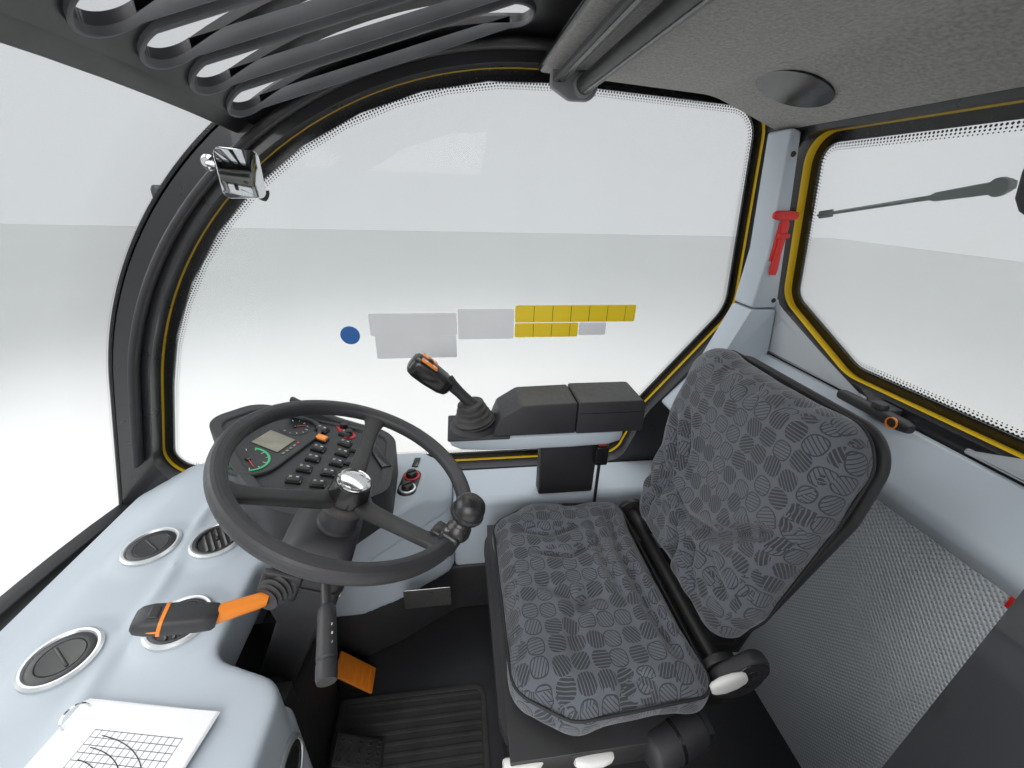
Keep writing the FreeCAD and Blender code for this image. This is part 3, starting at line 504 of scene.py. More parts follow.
finishes = {
    "cabPaint": dict(colour=(0.86, 0.56, 0.02), rough=0.3, mottle=(2.5, 0.03), coat=0.4,
                     grain=(160, 0.05, 0.0006)),
    "blackPaint": dict(colour=(0.018, 0.018, 0.02), rough=0.42, mottle=(5, 0.2),
                       grain=(300, 0.12, 0.0004)),
    "roofShell": dict(colour=(0.05, 0.052, 0.056), rough=0.45, mottle=(4, 0.1),
                      grain=(700, 0.2, 0.0003)),
    "greyMoulding": dict(colour=(0.43, 0.48, 0.53), rough=0.5, mottle=(4, 0.04),
                         grain=(1300, 0.35, 0.00025)),
    "paleMoulding": dict(colour=(0.5, 0.53, 0.56), rough=0.52, mottle=(5, 0.04),
                         grain=(1300, 0.35, 0.00025)),
    "darkMoulding": dict(colour=(0.022, 0.022, 0.024), rough=0.55, mottle=(8, 0.15),
                         grain=(1100, 0.4, 0.0003)),
    "podShell": dict(colour=(0.035, 0.036, 0.038), rough=0.6, mottle=(8, 0.12),
                     grain=(1500, 0.4, 0.0003)),
    "gripRubber": dict(colour=(0.03, 0.03, 0.032), rough=0.5, mottle=(14, 0.2),
                       grain=(1400, 0.4, 0.0003), roughSpread=0.14),
    "floorRubber": dict(colour=(0.03, 0.029, 0.028), rough=0.8, mottle=(12, 0.35),
                        grain=(500, 0.4, 0.0005)),
    "plainSteel": dict(colour=(0.55, 0.55, 0.54), rough=0.3, metal=1.0, mottle=(20, 0.12)),
    "brightChrome": dict(colour=(0.72, 0.72, 0.72), rough=0.12, metal=1.0, mottle=(20, 0.05),
                         roughSpread=0.05),
    "seatSteel": dict(colour=(0.02, 0.02, 0.021), rough=0.45, mottle=(9, 0.25),
                      grain=(400, 0.15, 0.0004)),
    "leverOrange": dict(colour=(0.86, 0.25, 0.02), rough=0.42, mottle=(12, 0.08),
                        grain=(900, 0.2, 0.0003)),
    "buttonRed": dict(colour=(0.62, 0.02, 0.015), rough=0.4, mottle=(12, 0.08)),
    "leverWhite": dict(colour=(0.72, 0.72, 0.69), rough=0.42, mottle=(10, 0.05)),
    "blindMetal": dict(colour=(0.3, 0.31, 0.32), rough=0.38, metal=0.8, mottle=(15, 0.1)),
    "linerFelt": dict(colour=(0.17, 0.165, 0.155), rough=0.95, mottle=(180, 0.35), sheen=0.3,
                      grain=(900, 0.8, 0.0012)),
    "paper": dict(colour=(0.82, 0.83, 0.85), rough=0.6, mottle=(8, 0.02)),
    "plateYellow": dict(colour=(0.85, 0.62, 0.02), rough=0.4, mottle=(8, 0.03)),
    "pipingDark": dict(colour=(0.012, 0.012, 0.014), rough=0.6, mottle=(30, 0.2),
                       grain=(1200, 0.3, 0.0003)),
    "spokeBlack": dict(colour=(0.026, 0.026, 0.027), rough=0.48, mottle=(18, 0.3),
                       grain=(700, 0.25, 0.0003), roughSpread=0.16),
    "dustyBlack": dict(colour=(0.04, 0.038, 0.035), rough=0.62, mottle=(45, 0.45),
                       grain=(600, 0.3, 0.0003), roughSpread=0.2),
    "glossBlack": dict(colour=(0.012, 0.012, 0.013), rough=0.22, mottle=(20, 0.2),
                       roughSpread=0.1),
    "knobBlack": dict(colour=(0.016, 0.016, 0.017), rough=0.32, mottle=(30, 0.25),
                      roughSpread=0.14, grain=(500, 0.1, 0.0002)),
    "bootRubber": dict(colour=(0.042, 0.041, 0.04), rough=0.7, mottle=(30, 0.35),
                       grain=(900, 0.35, 0.0003)),
    "silverRing": dict(colour=(0.62, 0.64, 0.65), rough=0.35, metal=0.7, mottle=(20, 0.06)),
    "ventBlack": dict(colour=(0.014, 0.014, 0.015), rough=0.38, mottle=(20, 0.2),
                      grain=(900, 0.15, 0.0002)),
    "shutGrey": dict(colour=(0.27, 0.30, 0.33), rough=0.5, mottle=(12, 0.06),
                     grain=(1300, 0.3, 0.0002)),
    "dialFace": dict(colour=(0.008, 0.010, 0.011), rough=0.3, mottle=(40, 0.2)),
    "dialGreen": dict(colour=(0.03, 0.42, 0.16), rough=0.4, mottle=(60, 0.1)),
    "displayGrey": dict(colour=(0.23, 0.22, 0.17), rough=0.35, mottle=(50, 0.15)),
    "padVinyl": dict(colour=(0.026, 0.026, 0.028), rough=0.5, mottle=(14, 0.15),
                     grain=(650, 0.5, 0.0004), roughSpread=0.12),
    "keyPale": dict(colour=(0.85, 0.55, 0.42), rough=0.4, mottle=(60, 0.06)),
    "bellowsRubber": dict(colour=(0.014, 0.014, 0.014), rough=0.7, mottle=(12, 0.3),
                          grain=(700, 0.3, 0.0003)),
    "padRubber": dict(colour=(0.02, 0.02, 0.02), rough=0.65, mottle=(40, 0.3),
                      grain=(700, 0.3, 0.0003)),
    "fritBlack": dict(colour=(0.006, 0.006, 0.007), rough=0.25, mottle=(30, 0.1)),
    "sealRubber": dict(colour=(0.014, 0.014, 0.015), rough=0.6, mottle=(20, 0.25),
                       grain=(900, 0.25, 0.0002)),
    "plateWhite": dict(colour=(0.78, 0.79, 0.80), rough=0.4, mottle=(9, 0.03)),
    "plateBlue": dict(colour=(0.02, 0.13, 0.42), rough=0.4, mottle=(30, 0.05)),
    "plateSilver": dict(colour=(0.45, 0.45, 0.43), rough=0.38, metal=0.6, mottle=(90, 0.3),
                        roughSpread=0.15),
    "guardEdge": dict(colour=(0.075, 0.078, 0.084), rough=0.5, mottle=(9, 0.2),
                      grain=(600, 0.2, 0.0003)),
    "blindBracket": dict(colour=(0.16, 0.165, 0.17), rough=0.5, mottle=(12, 0.15),
                         grain=(900, 0.25, 0.0003)),
    "lensClear": dict(colour=(0.78, 0.80, 0.80), rough=0.12, mottle=(30, 0.05)),
    "lensAmber": dict(colour=(0.8, 0.2, 0.01), rough=0.15, mottle=(30, 0.08)),
    "mirrorSilver": dict(colour=(0.82, 0.84, 0.85), rough=0.05, metal=1.0, mottle=(10, 0.02),
                         roughSpread=0.01),
    "floorPale": dict(colour=(0.8, 0.8, 0.79), rough=0.7, mottle=(0.5, 0.02)),
}
finish = {name: surface(name, **settings) for name, settings in finishes.items()}


def glassSheet(name, tint):
    material, nodes, links, shader = newMaterial(name)
    shader.inputs["Base Color"].default_value = (*tint, 1)
    shader.inputs["Roughness"].default_value = 0.02
    shader.inputs["IOR"].default_value = 1.45
    shader.inputs["Alpha"].default_value = 0.16
    material.surface_render_method = "BLENDED"
    return material


finish["clearGlass"] = glassSheet("clearGlass", (0.45, 0.55, 0.52))
print("finishes made")


cameraSettings = {
    "place": (0.55, 0.05, 1.31), "yaw": 8.0, "pitch": -25.0, "roll": 1.7,
    "pixels": 411, "width": 1024,
}


def makeCamera():
    c = cameraSettings
    yaw, pitch, roll = (math.radians(c[key]) for key in ("yaw", "pitch", "roll"))
    level = Vector((-math.cos(yaw), math.sin(yaw), 0))
    ahead = level * math.cos(pitch) + Vector((0, 0, math.sin(pitch)))
    right = Vector((math.sin(yaw), math.cos(yaw), 0))
    up = right.cross(ahead)
    right, up = (right * math.cos(roll) + up * math.sin(roll),
                 up * math.cos(roll) - right * math.sin(roll))
    data = bpy.data.cameras.new("cabCamera")
    data.sensor_width = 36
    data.lens = 36 * c["pixels"] / c["width"]
    data.clip_start = 0.01
    camera = bpy.data.objects.new("cabCamera", data)
    bpy.context.scene.collection.objects.link(camera)
    camera.matrix_world = Matrix.Translation(c["place"]) @ Matrix(
        (right, up, -ahead)).transposed().to_4x4()
    bpy.context.scene.camera = camera


def makeLamp(name, place, target, size, power):
    bpy.ops.object.light_add(type="AREA", location=place)
    lamp = bpy.context.object
    lamp.name = name
    lamp.data.size = size
    lamp.data.energy = power
    lamp.rotation_euler = (Vector(target) - Vector(place)).to_track_quat("-Z", "Y").to_euler()


makeCamera()
makeLamp("doorLamp", (2.6, -0.6, 2.4), (0, 0, 0.7), 2.2, 70)
makeLamp("frontLamp", (-0.6, -3.0, 2.6), (0, 0, 0.8), 2.6, 90)
makeLamp("roofLamp", (-1.2, 0.6, 3.6), (0, 0, 0.6), 3.0, 90)
world = bpy.data.worlds.new("paleStudio")
bpy.context.scene.world = world
world.use_nodes = True
world.node_tree.nodes["Background"].inputs["Color"].default_value = (0.92, 0.94, 0.97, 1)
world.node_tree.nodes["Background"].inputs["Strength"].default_value = 0.85
bpy.ops.mesh.primitive_plane_add(size=30, location=(0, 0, 0))
ground = bpy.context.object
ground.name = "studioFloor"
setMaterials(ground, finish["floorPale"])
bpy.context.scene.view_settings.view_transform = "Standard"
print("camera, lamps and floor set")


def nodeOf(nodes, kind, **values):
    node = nodes.new(kind)
    for key, value in values.items():
        if key in node.inputs:
            node.inputs[key].default_value = value
        else:
            setattr(node, key, value)
    return node


def maths(nodes, links, operation, first, second=0.0, third=None):
    node = nodes.new("ShaderNodeMath")
    node.operation = operation
    for socket, value in zip(node.inputs, (first, second, third)):
        if value is None:
            continue
        if hasattr(value, "links") or isinstance(value, bpy.types.NodeSocket):
            links.new(value, socket)
        else:
            socket.default_value = value
    return node.outputs[0]


def mixColours(nodes, links, amount, first, second):
    node = nodes.new("ShaderNodeMix")
    node.data_type = "RGBA"
    for socket, value in ((node.inputs[0], amount), (node.inputs[6], first),
                          (node.inputs[7], second)):
        if isinstance(value, bpy.types.NodeSocket):
            links.new(value, socket)
        elif isinstance(value, (int, float)):
            socket.default_value = value
        else:
            socket.default_value = (*value, 1)
    return node.outputs[2]


clothSettings = {"ground": (0.092, 0.101, 0.118), "tile": (0.020, 0.023, 0.029),
                 "tilesPerMetre": 31, "threads": 900}


def seatCloth(name):
    # woven cloth with scattered rounded tiles, each with fine ribs across it
    c = clothSettings
    material, nodes, links, shader = newMaterial(name)
    place = nodeOf(nodes, "ShaderNodeUVMap", uv_map="cloth")
    cells = nodeOf(nodes, "ShaderNodeTexVoronoi", voronoi_dimensions="2D", distance="MINKOWSKI",
                   Scale=c["tilesPerMetre"], Randomness=0.14, Exponent=2.6)
    links.new(place.outputs["UV"], cells.inputs["Vector"])
    inside = maths(nodes, links, "LESS_THAN", cells.outputs["Distance"], 0.462)
    rim = maths(nodes, links, "GREATER_THAN", cells.outputs["Distance"], 0.405)
    # ribs turned a different way in each tile
    colour = nodeOf(nodes, "ShaderNodeSeparateColor")
    links.new(cells.outputs["Color"], colour.inputs["Color"])
    turn = maths(nodes, links, "MULTIPLY", colour.outputs[0], 6.283)
    spot = nodeOf(nodes, "ShaderNodeSeparateXYZ")
    links.new(place.outputs["UV"], spot.inputs["Vector"])
    across = maths(nodes, links, "ADD",
                   maths(nodes, links, "MULTIPLY", spot.outputs[0],
                         maths(nodes, links, "COSINE", turn)),
                   maths(nodes, links, "MULTIPLY", spot.outputs[1],
                         maths(nodes, links, "SINE", turn)))
    wave = maths(nodes, links, "SINE", maths(nodes, links, "MULTIPLY", across, 1250.0))
    ribs = maths(nodes, links, "MULTIPLY", maths(nodes, links, "GREATER_THAN", wave, 0.62), inside)
    threadX = maths(nodes, links, "SINE", maths(nodes, links, "MULTIPLY", spot.outputs[0],
                                                c["threads"] * 6.283))
    threadY = maths(nodes, links, "SINE", maths(nodes, links, "MULTIPLY", spot.outputs[1],
                                                c["threads"] * 6.283))
    weave = maths(nodes, links, "MULTIPLY", threadX, threadY)
    # filled tiles have pale ribs, the others a dark rim and dark ribs
    filled = maths(nodes, links, "GREATER_THAN", colour.outputs[1], 0.42)
    outlined = maths(nodes, links, "MULTIPLY", maths(nodes, links, "MAXIMUM", rim, ribs),
                  maths(nodes, links, "SUBTRACT", 1.0, filled))
    solid = maths(nodes, links, "MULTIPLY", filled, maths(nodes, links, "SUBTRACT", 1.0, ribs))
    marks = maths(nodes, links, "MULTIPLY", inside, maths(nodes, links, "MAXIMUM", outlined, solid))
    base = mixColours(nodes, links, marks, c["ground"], c["tile"])
    wear = nodeOf(nodes, "ShaderNodeTexNoise", Scale=7.0, Detail=5.0)
    links.new(place.outputs["UV"], wear.inputs["Vector"])
    pale = maths(nodes, links, "MULTIPLY", wear.outputs["Fac"], 0.16)
    base = mixColours(nodes, links, pale, base, (0.12, 0.13, 0.14))
    links.new(base, shader.inputs["Base Color"])
    shader.inputs["Roughness"].default_value = 0.85
    shader.inputs["Sheen Weight"].default_value = 0.25
    height = maths(nodes, links, "SUBTRACT", maths(nodes, links, "MULTIPLY", weave, 0.5), marks)
    bump = nodeOf(nodes, "ShaderNodeBump", Strength=0.35, Distance=0.0005)
    links.new(height, bump.inputs["Height"])
    links.new(bump.outputs["Normal"], shader.inputs["Normal"])
    return material


def twoTone(name, outer, inner, axis, level):
    # paint outside a distance from the middle, another finish inside it
    material = surface(name, **finishes[outer])
    nodes, links = material.node_tree.nodes, material.node_tree.links
    shader = nodes["Principled BSDF"]
    place = nodeOf(nodes, "ShaderNodeTexCoord")
    spot = nodeOf(nodes, "ShaderNodeSeparateXYZ")
    links.new(place.outputs["Object"], spot.inputs["Vector"])
    far = maths(nodes, links, "GREATER_THAN",
                maths(nodes, links, "ABSOLUTE", spot.outputs[axis]), level)
    source = shader.inputs["Base Color"].links[0].from_socket
    links.new(mixColours(nodes, links, far, finishes[inner]["colour"], source),
              shader.inputs["Base Color"])
    return material


def perforated(name, base, pitch, radius, uAxis, vAxis):
    # a moulding with rows of small pressed holes, their colour darkened as painted shade inside them
    material = surface(name, **finishes[base])
    nodes, links = material.node_tree.nodes, material.node_tree.links
    shader = nodes["Principled BSDF"]
    place = nodeOf(nodes, "ShaderNodeTexCoord")
    spot = nodeOf(nodes, "ShaderNodeSeparateXYZ")
    links.new(place.outputs["Object"], spot.inputs["Vector"])
    u = maths(nodes, links, "MULTIPLY", spot.outputs[uAxis], 6.2832 / pitch)
    v = maths(nodes, links, "MULTIPLY", spot.outputs[vAxis], 6.2832 / pitch)
    first = maths(nodes, links, "ADD", u, v)
    second = maths(nodes, links, "SUBTRACT", u, v)
    both = maths(nodes, links, "ADD", maths(nodes, links, "COSINE", first),
                 maths(nodes, links, "COSINE", second))
    hole = maths(nodes, links, "GREATER_THAN", both, 2 - radius)
    source = shader.inputs["Base Color"].links[0].from_socket
    # painted shade: the holes get a darker copy of the moulding's colour
    holeShade = tuple(c * 0.45 for c in finishes[base]["colour"])
    links.new(mixColours(nodes, links, hole, source, holeShade), shader.inputs["Base Color"])
    bump = nodeOf(nodes, "ShaderNodeBump", Strength=0.6, Distance=0.0008)
    bump.invert = True
    links.new(both, bump.inputs["Height"])
    links.new(bump.outputs["Normal"], shader.inputs["Normal"])
    return material


finish["seatFabric"] = seatCloth("seatFabric")
finish["wallPaint"] = twoTone("wallPaint", "cabPaint", "blackPaint", 0, 0.4795)
finish["liningPale"] = perforated("liningPale", "paleMoulding", 0.0096, 0.5, 0, 2)




def rearPaint():
    # yellow on the outer skin of the bent rear wall and on its top, black inside
    material = surface("rearPaint", **finishes["cabPaint"])
    nodes, links = material.node_tree.nodes, material.node_tree.links
    place = nodeOf(nodes, "ShaderNodeTexCoord")
    spot = nodeOf(nodes, "ShaderNodeSeparateXYZ")
    links.new(place.outputs["Object"], spot.inputs["Vector"])
    upper = maths(nodes, links, "ADD", maths(nodes, links, "MULTIPLY", spot.outputs[2], -0.1662),
                  1.0446)
    lower = maths(nodes, links, "ADD", maths(nodes, links, "MULTIPLY", spot.outputs[2], 0.0411),
                  0.8455)
    skin = maths(nodes, links, "GREATER_THAN", spot.outputs[1],
                 maths(nodes, links, "MINIMUM", upper, lower))
    top = maths(nodes, links, "GREATER_THAN", spot.outputs[2], 1.545)
    far = maths(nodes, links, "MAXIMUM", skin, top)
    shader = nodes["Principled BSDF"]
    source = shader.inputs["Base Color"].links[0].from_socket
    links.new(mixColours(nodes, links, far, finishes["blackPaint"]["colour"], source),
              shader.inputs["Base Color"])
    return material


finish["rearPaint"] = rearPaint()


# CAD nodes that keep their shape get their finish
nodeFinish = {
    "side_wall_right": "wallPaint", "side_wall_left": "wallPaint", "rear_wall": "rearPaint",
    "front_header": "blackPaint", "cowl": "blackPaint", "front_wall": "blackPaint",
    "floor_frame": "blackPaint", "roof_guard": "blackPaint", "roof_cover": "roofShell",
    "roof_glass": "clearGlass", "windscreen": "clearGlass", "right_window": "clearGlass",
    "quarter_window": "clearGlass", "rear_window": "clearGlass", "headliner": "linerFelt",
    "post_trim_left": "darkMoulding", "post_trim_right": "darkMoulding",
    "corner_trim_left": "greyMoulding", "corner_trim_right": "greyMoulding",
    "rear_panel": "greyMoulding", "rear_lining": "liningPale",
    "rear_window_handle": "darkMoulding", "side_console": "greyMoulding",
    "dash": "greyMoulding", "dash_lower_right": "greyMoulding", "knee_panel": "greyMoulding",
    "heater_box": "darkMoulding", "instrument_pod": "podShell", "air_vents": "darkMoulding",
    "column_base": "darkMoulding", "pedals": "leverOrange", "floor_mat": "floorRubber",
    "seat_base": "darkMoulding", "seat_bellows": "floorRubber", "seat_rails": "seatSteel",
    "arm_support": "greyMoulding", "arm_pad": "darkMoulding", "joystick": "darkMoulding",
    "cab_mirror": "darkMoulding", "roller_blind": "blindMetal", "wipers": "seatSteel",
    "wiper_motor": "darkMoulding", "work_lamps": "darkMoulding", "door_hinges": "blackPaint",
    "steering_column": "darkMoulding", "shuttle_lever": "leverOrange",
    "steering_wheel": "gripRubber", "spinner_knob": "gripRubber", "seat_pan": "seatSteel",
    "seat_cushion": "padVinyl", "recliner_cover": "darkMoulding",
    "belt_buckle": "darkMoulding", "back_cushion": "padVinyl", "back_shell": "darkMoulding",
    "back_bracket": "seatSteel", "door_frame": "blackPaint", "door_glass": "clearGlass",
    "door_handles": "darkMoulding",
}
for name, material in nodeFinish.items():
    setMaterials(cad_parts[name], finish[material])
print("frame dressed")

# Seat pads: cloth blown up from a smaller form, then creased
padSettings = {
    "seat": {"outline": [(-0.188, 0.104, 0.062), (0.188, 0.104, 0.062), (0.247, 0.20, 0.075),
                         (0.232, 0.449, 0.045), (-0.232, 0.449, 0.045), (-0.247, 0.20, 0.075)],
             "plane": "XY", "low": 0.552, "high": 0.622, "round": 0.026, "voxel": 0.006,
             "cap": 0.018, "floor": 0.5462, "ceiling": 0.656},
    "back": {"outline": [(-0.190, 0.014, 0.05), (0.154, 0.014, 0.05), (0.188, 0.11, 0.08),
                         (0.198, 0.327, 0.11), (0.182, 0.474, 0.078), (-0.218, 0.474, 0.078),
                         (-0.234, 0.327, 0.11)],
             "plane": "XZ", "low": -0.016, "high": 0.046, "round": 0.024, "voxel": 0.006,
             "cap": 0.018, "floor": 0.0545, "ceiling": -0.04},
    "pressure": 4, "frames": 20,
}


def blownUp(obj, voxel, cap):
    # blown up by a pressure cloth run, with no point allowed to move further than the cap
    modify(obj, "REMESH", mode="VOXEL", voxel_size=voxel)
    rest = [vertex.co.copy() for vertex in obj.data.vertices]
    pick(obj)
    cloth = obj.modifiers.new("Cloth", "CLOTH")
    cloth.settings.quality = 4
    cloth.settings.use_pressure = True
    cloth.settings.uniform_pressure_force = padSettings["pressure"]
    cloth.settings.effector_weights.gravity = 0
    for step in range(1, padSettings["frames"] + 1):
        bpy.context.scene.frame_set(step)
    bpy.ops.object.modifier_apply(modifier=cloth.name)
    bpy.context.scene.frame_set(1)
    for vertex, start in zip(obj.data.vertices, rest):
        move = vertex.co - start
        if move.length > cap:
            vertex.co = start + move * (cap / move.length)
    return obj


def creased(obj, creases, hollows, depthAxis, sign):
    # shallow grooves along lines and wide hollows at places, pressed in along one axis
    flat = [i for i in range(3) if i != depthAxis]
    for vertex in obj.data.vertices:
        place = Vector((vertex.co[flat[0]], vertex.co[flat[1]]))
        if vertex.normal[depthAxis] * sign < 0.2:
            continue
        shift = 0.0
        for line, width, depth in creases:
            near, where = 1e9, 0
            for k, (a, b) in enumerate(zip(line, line[1:])):
                a, b = Vector(a), Vector(b)
                along = max(0, min(1, (place - a).dot(b - a) / (b - a).length_squared))
                gap = (place - a.lerp(b, along)).length
                if gap < near:
                    near, where = gap, (k + along) / (len(line) - 1)
            fade = min(1, 5 * where, 5 * (1 - where))
            shift += depth * fade * (1.25 * math.exp(-(near / width) ** 2)
                                     - 0.5 * math.exp(-((near - 2.1 * width) / width) ** 2))
        for centre, reach, depth in hollows:
            shift += depth * math.exp(-((place - Vector(centre)).length / reach) ** 2)
        shift += 0.0016 * noise.noise(Vector((place.x * 14, place.y * 14, 0.3)))
        vertex.co[depthAxis] -= sign * shift
    return obj


def boxUv(obj):
    # each face is laid flat along its main direction, at true size
    mesh = obj.data
    layer = mesh.uv_layers.new(name="cloth")
    for polygon in mesh.polygons:
        axis = max(range(3), key=lambda i: abs(polygon.normal[i]))
        for loop in polygon.loop_indices:
            co = mesh.vertices[mesh.loops[loop].vertex_index].co
            layer.data[loop].uv = [(co.y, co.z), (co.x, co.z), (co.x, co.y)][axis]


def makePad(key, creases, hollows, depthAxis, sign):
    p = padSettings[key]
    pad = prism(roundCorners(p["outline"], 10), p["plane"], p["low"], p["high"], p["round"], 5)
    blownUp(pad, p["voxel"], p["cap"])
    modify(pad, "SMOOTH", factor=0.5, iterations=3)
    for vertex in pad.data.vertices:
        if depthAxis == 2:
            vertex.co.z = min(max(vertex.co.z, p["floor"]), p["ceiling"])
        else:
            vertex.co.y = max(min(vertex.co.y, p["floor"]), p["ceiling"])
    creased(pad, creases, hollows, depthAxis, sign)
    boxUv(pad)
    modify(pad, "SUBSURF", levels=1, render_levels=1)
    return pad


onBack = Matrix.Translation((0, 0.47, 0.59)) @ Matrix.Rotation(math.radians(-12), 4, "X")
seatPad = makePad("seat", [
    ([(-0.13, 0.16), (-0.11, 0.24), (-0.14, 0.33)], 0.010, 0.009),
    ([(-0.07, 0.18), (-0.05, 0.27), (-0.09, 0.36)], 0.009, 0.009),
    ([(-0.21, 0.39), (-0.06, 0.372), (0.10, 0.380), (0.20, 0.40)], 0.011, 0.013),
    ([(-0.15, 0.345), (-0.02, 0.335), (0.09, 0.35)], 0.009, 0.009),
    ([(0.02, 0.30), (0.08, 0.24), (0.16, 0.22)], 0.011, 0.008),
    ([(0.00, 0.18), (0.05, 0.25), (0.06, 0.33)], 0.010, 0.007),
], [((0.02, 0.24), 0.12, 0.008), ((-0.10, 0.30), 0.06, 0.004)], 2, 1)
setMaterials(seatPad, finish["seatFabric"])
finishPiece(seatPad, "seatCushionCover", "seat", ["seat_cushion"], angle=60)

backPad = makePad("back", [
    ([(-0.20, 0.24), (-0.12, 0.185), (-0.02, 0.155), (0.06, 0.185), (0.13, 0.26), (0.18, 0.30)],
     0.011, 0.0145),
    ([(-0.17, 0.31), (-0.12, 0.24), (-0.10, 0.17), (-0.12, 0.10)], 0.010, 0.0115),
    ([(-0.14, 0.34), (-0.09, 0.27), (-0.075, 0.20)], 0.009, 0.009),
    ([(-0.19, 0.17), (-0.13, 0.12), (-0.11, 0.06)], 0.009, 0.010),
    ([(-0.04, 0.145), (0.00, 0.10), (0.00, 0.045)], 0.010, 0.012),
    ([(0.03, 0.15), (0.05, 0.10), (0.10, 0.07)], 0.010, 0.011),
    ([(0.05, 0.17), (0.10, 0.14), (0.15, 0.13)], 0.009, 0.008),
], [((-0.02, 0.22), 0.14, 0.008), ((-0.02, 0.42), 0.10, -0.003), ((0.04, 0.08), 0.05, -0.004)], 1, -1)
placed(backPad, onBack)
setMaterials(backPad, finish["seatFabric"])
finishPiece(backPad, "backCushionCover", "back", ["back_cushion"], angle=60)


def weltAlong(pad, outline, plane, level, matrix, radius, name, body):
    # a sewn welt on the pad's surface, found from points beside its outline
    tree = bvhtree.BVHTree.FromPolygons([v.co for v in pad.data.vertices],
                                        [p.vertices[:] for p in pad.data.polygons])
    points = []
    for u, v in roundCorners(grown(outline, 0.012), 5):
        start = matrix @ Vector(onPlane(plane, u, v, level))
        spot, normal, index, gap = tree.find_nearest(start)
        points.append(spot + normal * radius * 0.35)
    welt = tube(points, radius, 2, cyclic=True)
    setMaterials(welt, finish["pipingDark"])
    return finishPiece(welt, name, body, angle=60)


weltAlong(seatPad, padSettings["seat"]["outline"], "XY", 0.618, Matrix(), 0.0026,
          "seatWelt", "seat")
weltAlong(backPad, padSettings["back"]["outline"], "XZ", 0.040, onBack, 0.0026,
          "backWelt", "back")
print("seat pads made")


# Steering wheel, made flat about its own axis and then set on the column
wheelSettings = {"rim": 0.182, "tube": 0.0138, "spokeDrop": 0.026, "boss": 0.033, "knob": 0.0245}
onWheel = Matrix.Translation((0, -0.114, 0.903)) @ Matrix.Rotation(math.radians(-24), 4, "X")


def makeWheel():
    w = wheelSettings
    rimProfile = []
    for i in range(20):
        turn = 2 * math.pi * i / 20
        reach = w["tube"] * (1 - 0.05 * max(0, math.cos(2 * turn)))
        rimProfile.append((w["rim"] + reach * math.cos(turn), reach * math.sin(turn)))
    parts = [setMaterials(turned(rimProfile, steps=96), finish["gripRubber"])]
    for angle in (-56, 56, 180):
        c, s = math.cos(math.radians(angle)), math.sin(math.radians(angle))
        side = Vector((-s, c, 0))
        stations = []
        for reach, drop, wide, thick in ((0.022, -0.0475, 0.0165, 0.0095), (0.05, -0.043, 0.0155, 0.009),
                                         (0.10, -0.029, 0.0135, 0.0085), (0.14, -0.017, 0.0135, 0.008),
                                         (0.160, -0.009, 0.0155, 0.008), (0.173, -0.003, 0.021, 0.009),
                                         (0.180, -0.0005, 0.025, 0.0095)):
            stations.append((Vector((c * reach, s * reach, drop)), side * wide,
                             Vector((0, 0, thick)), 0.62))
        spoke = tapered(stations, 24)
        setMaterials(spoke, finish["spokeBlack"])
        parts.append(smooth(spoke, 50))
    hub = turned([(0, -0.0598), (0.0385, -0.0598), (0.0395, -0.058), (0.0395, -0.052), (0.037, -0.049),
                  (0.0355, -0.0475), (0.0335, -0.0465), (0, -0.0465)], steps=56)
    parts.append(smooth(setMaterials(hub, finish["dustyBlack"]), 30))
    cap = turned([(0, -0.047), (0.0332, -0.047), (0.0336, -0.043), (0.0322, -0.029), (0.0296, -0.019),
                  (0.0284, -0.0158), (0.026, -0.0148), (0, -0.0148)], steps=56)
    parts.append(smooth(setMaterials(cap, finish["glossBlack"]), 30))
    ringParts = turned([(0, -0.015), (0.0258, -0.015), (0.0266, -0.0138), (0.0262, -0.0118),
                        (0.0240, -0.0104), (0.0222, -0.0112), (0.0205, -0.0125), (0.012, -0.0108),
                        (0, -0.0104)], steps=56)
    parts.append(smooth(setMaterials(ringParts, finish["brightChrome"]), 30))
    wheel = joinAll([placed(part, onWheel) for part in parts])
    return finishPiece(wheel, "wheelRimAndHub", "wheel", ["steering_wheel"], angle=0)


def makeKnob():
    w = wheelSettings
    r = w["rim"]
    clamp = roundedBox((0, r - 0.004, 0.0005), (0.046, 0.032, 0.036), 0.007, 4)
    lug = roundedBox((0, r - 0.024, -0.006), (0.03, 0.022, 0.022), 0.006, 3)
    foot = turned([(0, 0.010), (0.0185, 0.010), (0.0195, 0.014), (0.0185, 0.024), (0.0150, 0.028),
                   (0.0140, 0.030), (0.0150, 0.032), (0.0140, 0.034), (0.0130, 0.036), (0.0140, 0.038),
                   (0.0130, 0.040), (0.0125, 0.046), (0, 0.046)], centre=(0, r, 0), steps=36)
    cap = turned([(0, 0.042), (0.0165, 0.042), (0.0225, 0.045), (0.0245, 0.049), (0.0246, 0.055),
                  (0.0232, 0.0562), (0.0236, 0.058), (0.0228, 0.066), (0.0195, 0.0735),
                  (0.0130, 0.0785), (0.006, 0.0803), (0, 0.0806)], centre=(0, r, 0), steps=48)
    teeth = []
    tooth = roundedBox((0.0242, 0, 0.0518), (0.0022, 0.0016, 0.0056), 0.0005, 1)
    for i in range(48):
        teeth.append(copied(tooth, Matrix.Translation((0, r, 0))
                            @ Matrix.Rotation(2 * math.pi * i / 48, 4, "Z")))
    deselectAll()
    tooth.select_set(True)
    bpy.ops.object.delete()
    screws = [turned([(0, 0), (0.0038, 0), (0.0038, 0.003), (0.003, 0.0038), (0, 0.0038)],
                     centre=(x, r - 0.012, 0.0183), steps=6) for x in (-0.016, 0.016)]
    for part in (clamp, lug, foot, cap, *teeth):
        setMaterials(part, finish["knobBlack"])
    for part in screws:
        setMaterials(part, finish["plainSteel"])
    onKnob = onWheel @ Matrix.Rotation(math.radians(-27), 4, "Z")
    knob = joinAll([placed(part, onKnob) for part in (clamp, lug, foot, cap, *teeth, *screws)])
    return finishPiece(knob, "spinnerKnobAssembly", "wheel", ["spinner_knob"], angle=40)


makeWheel()
makeKnob()

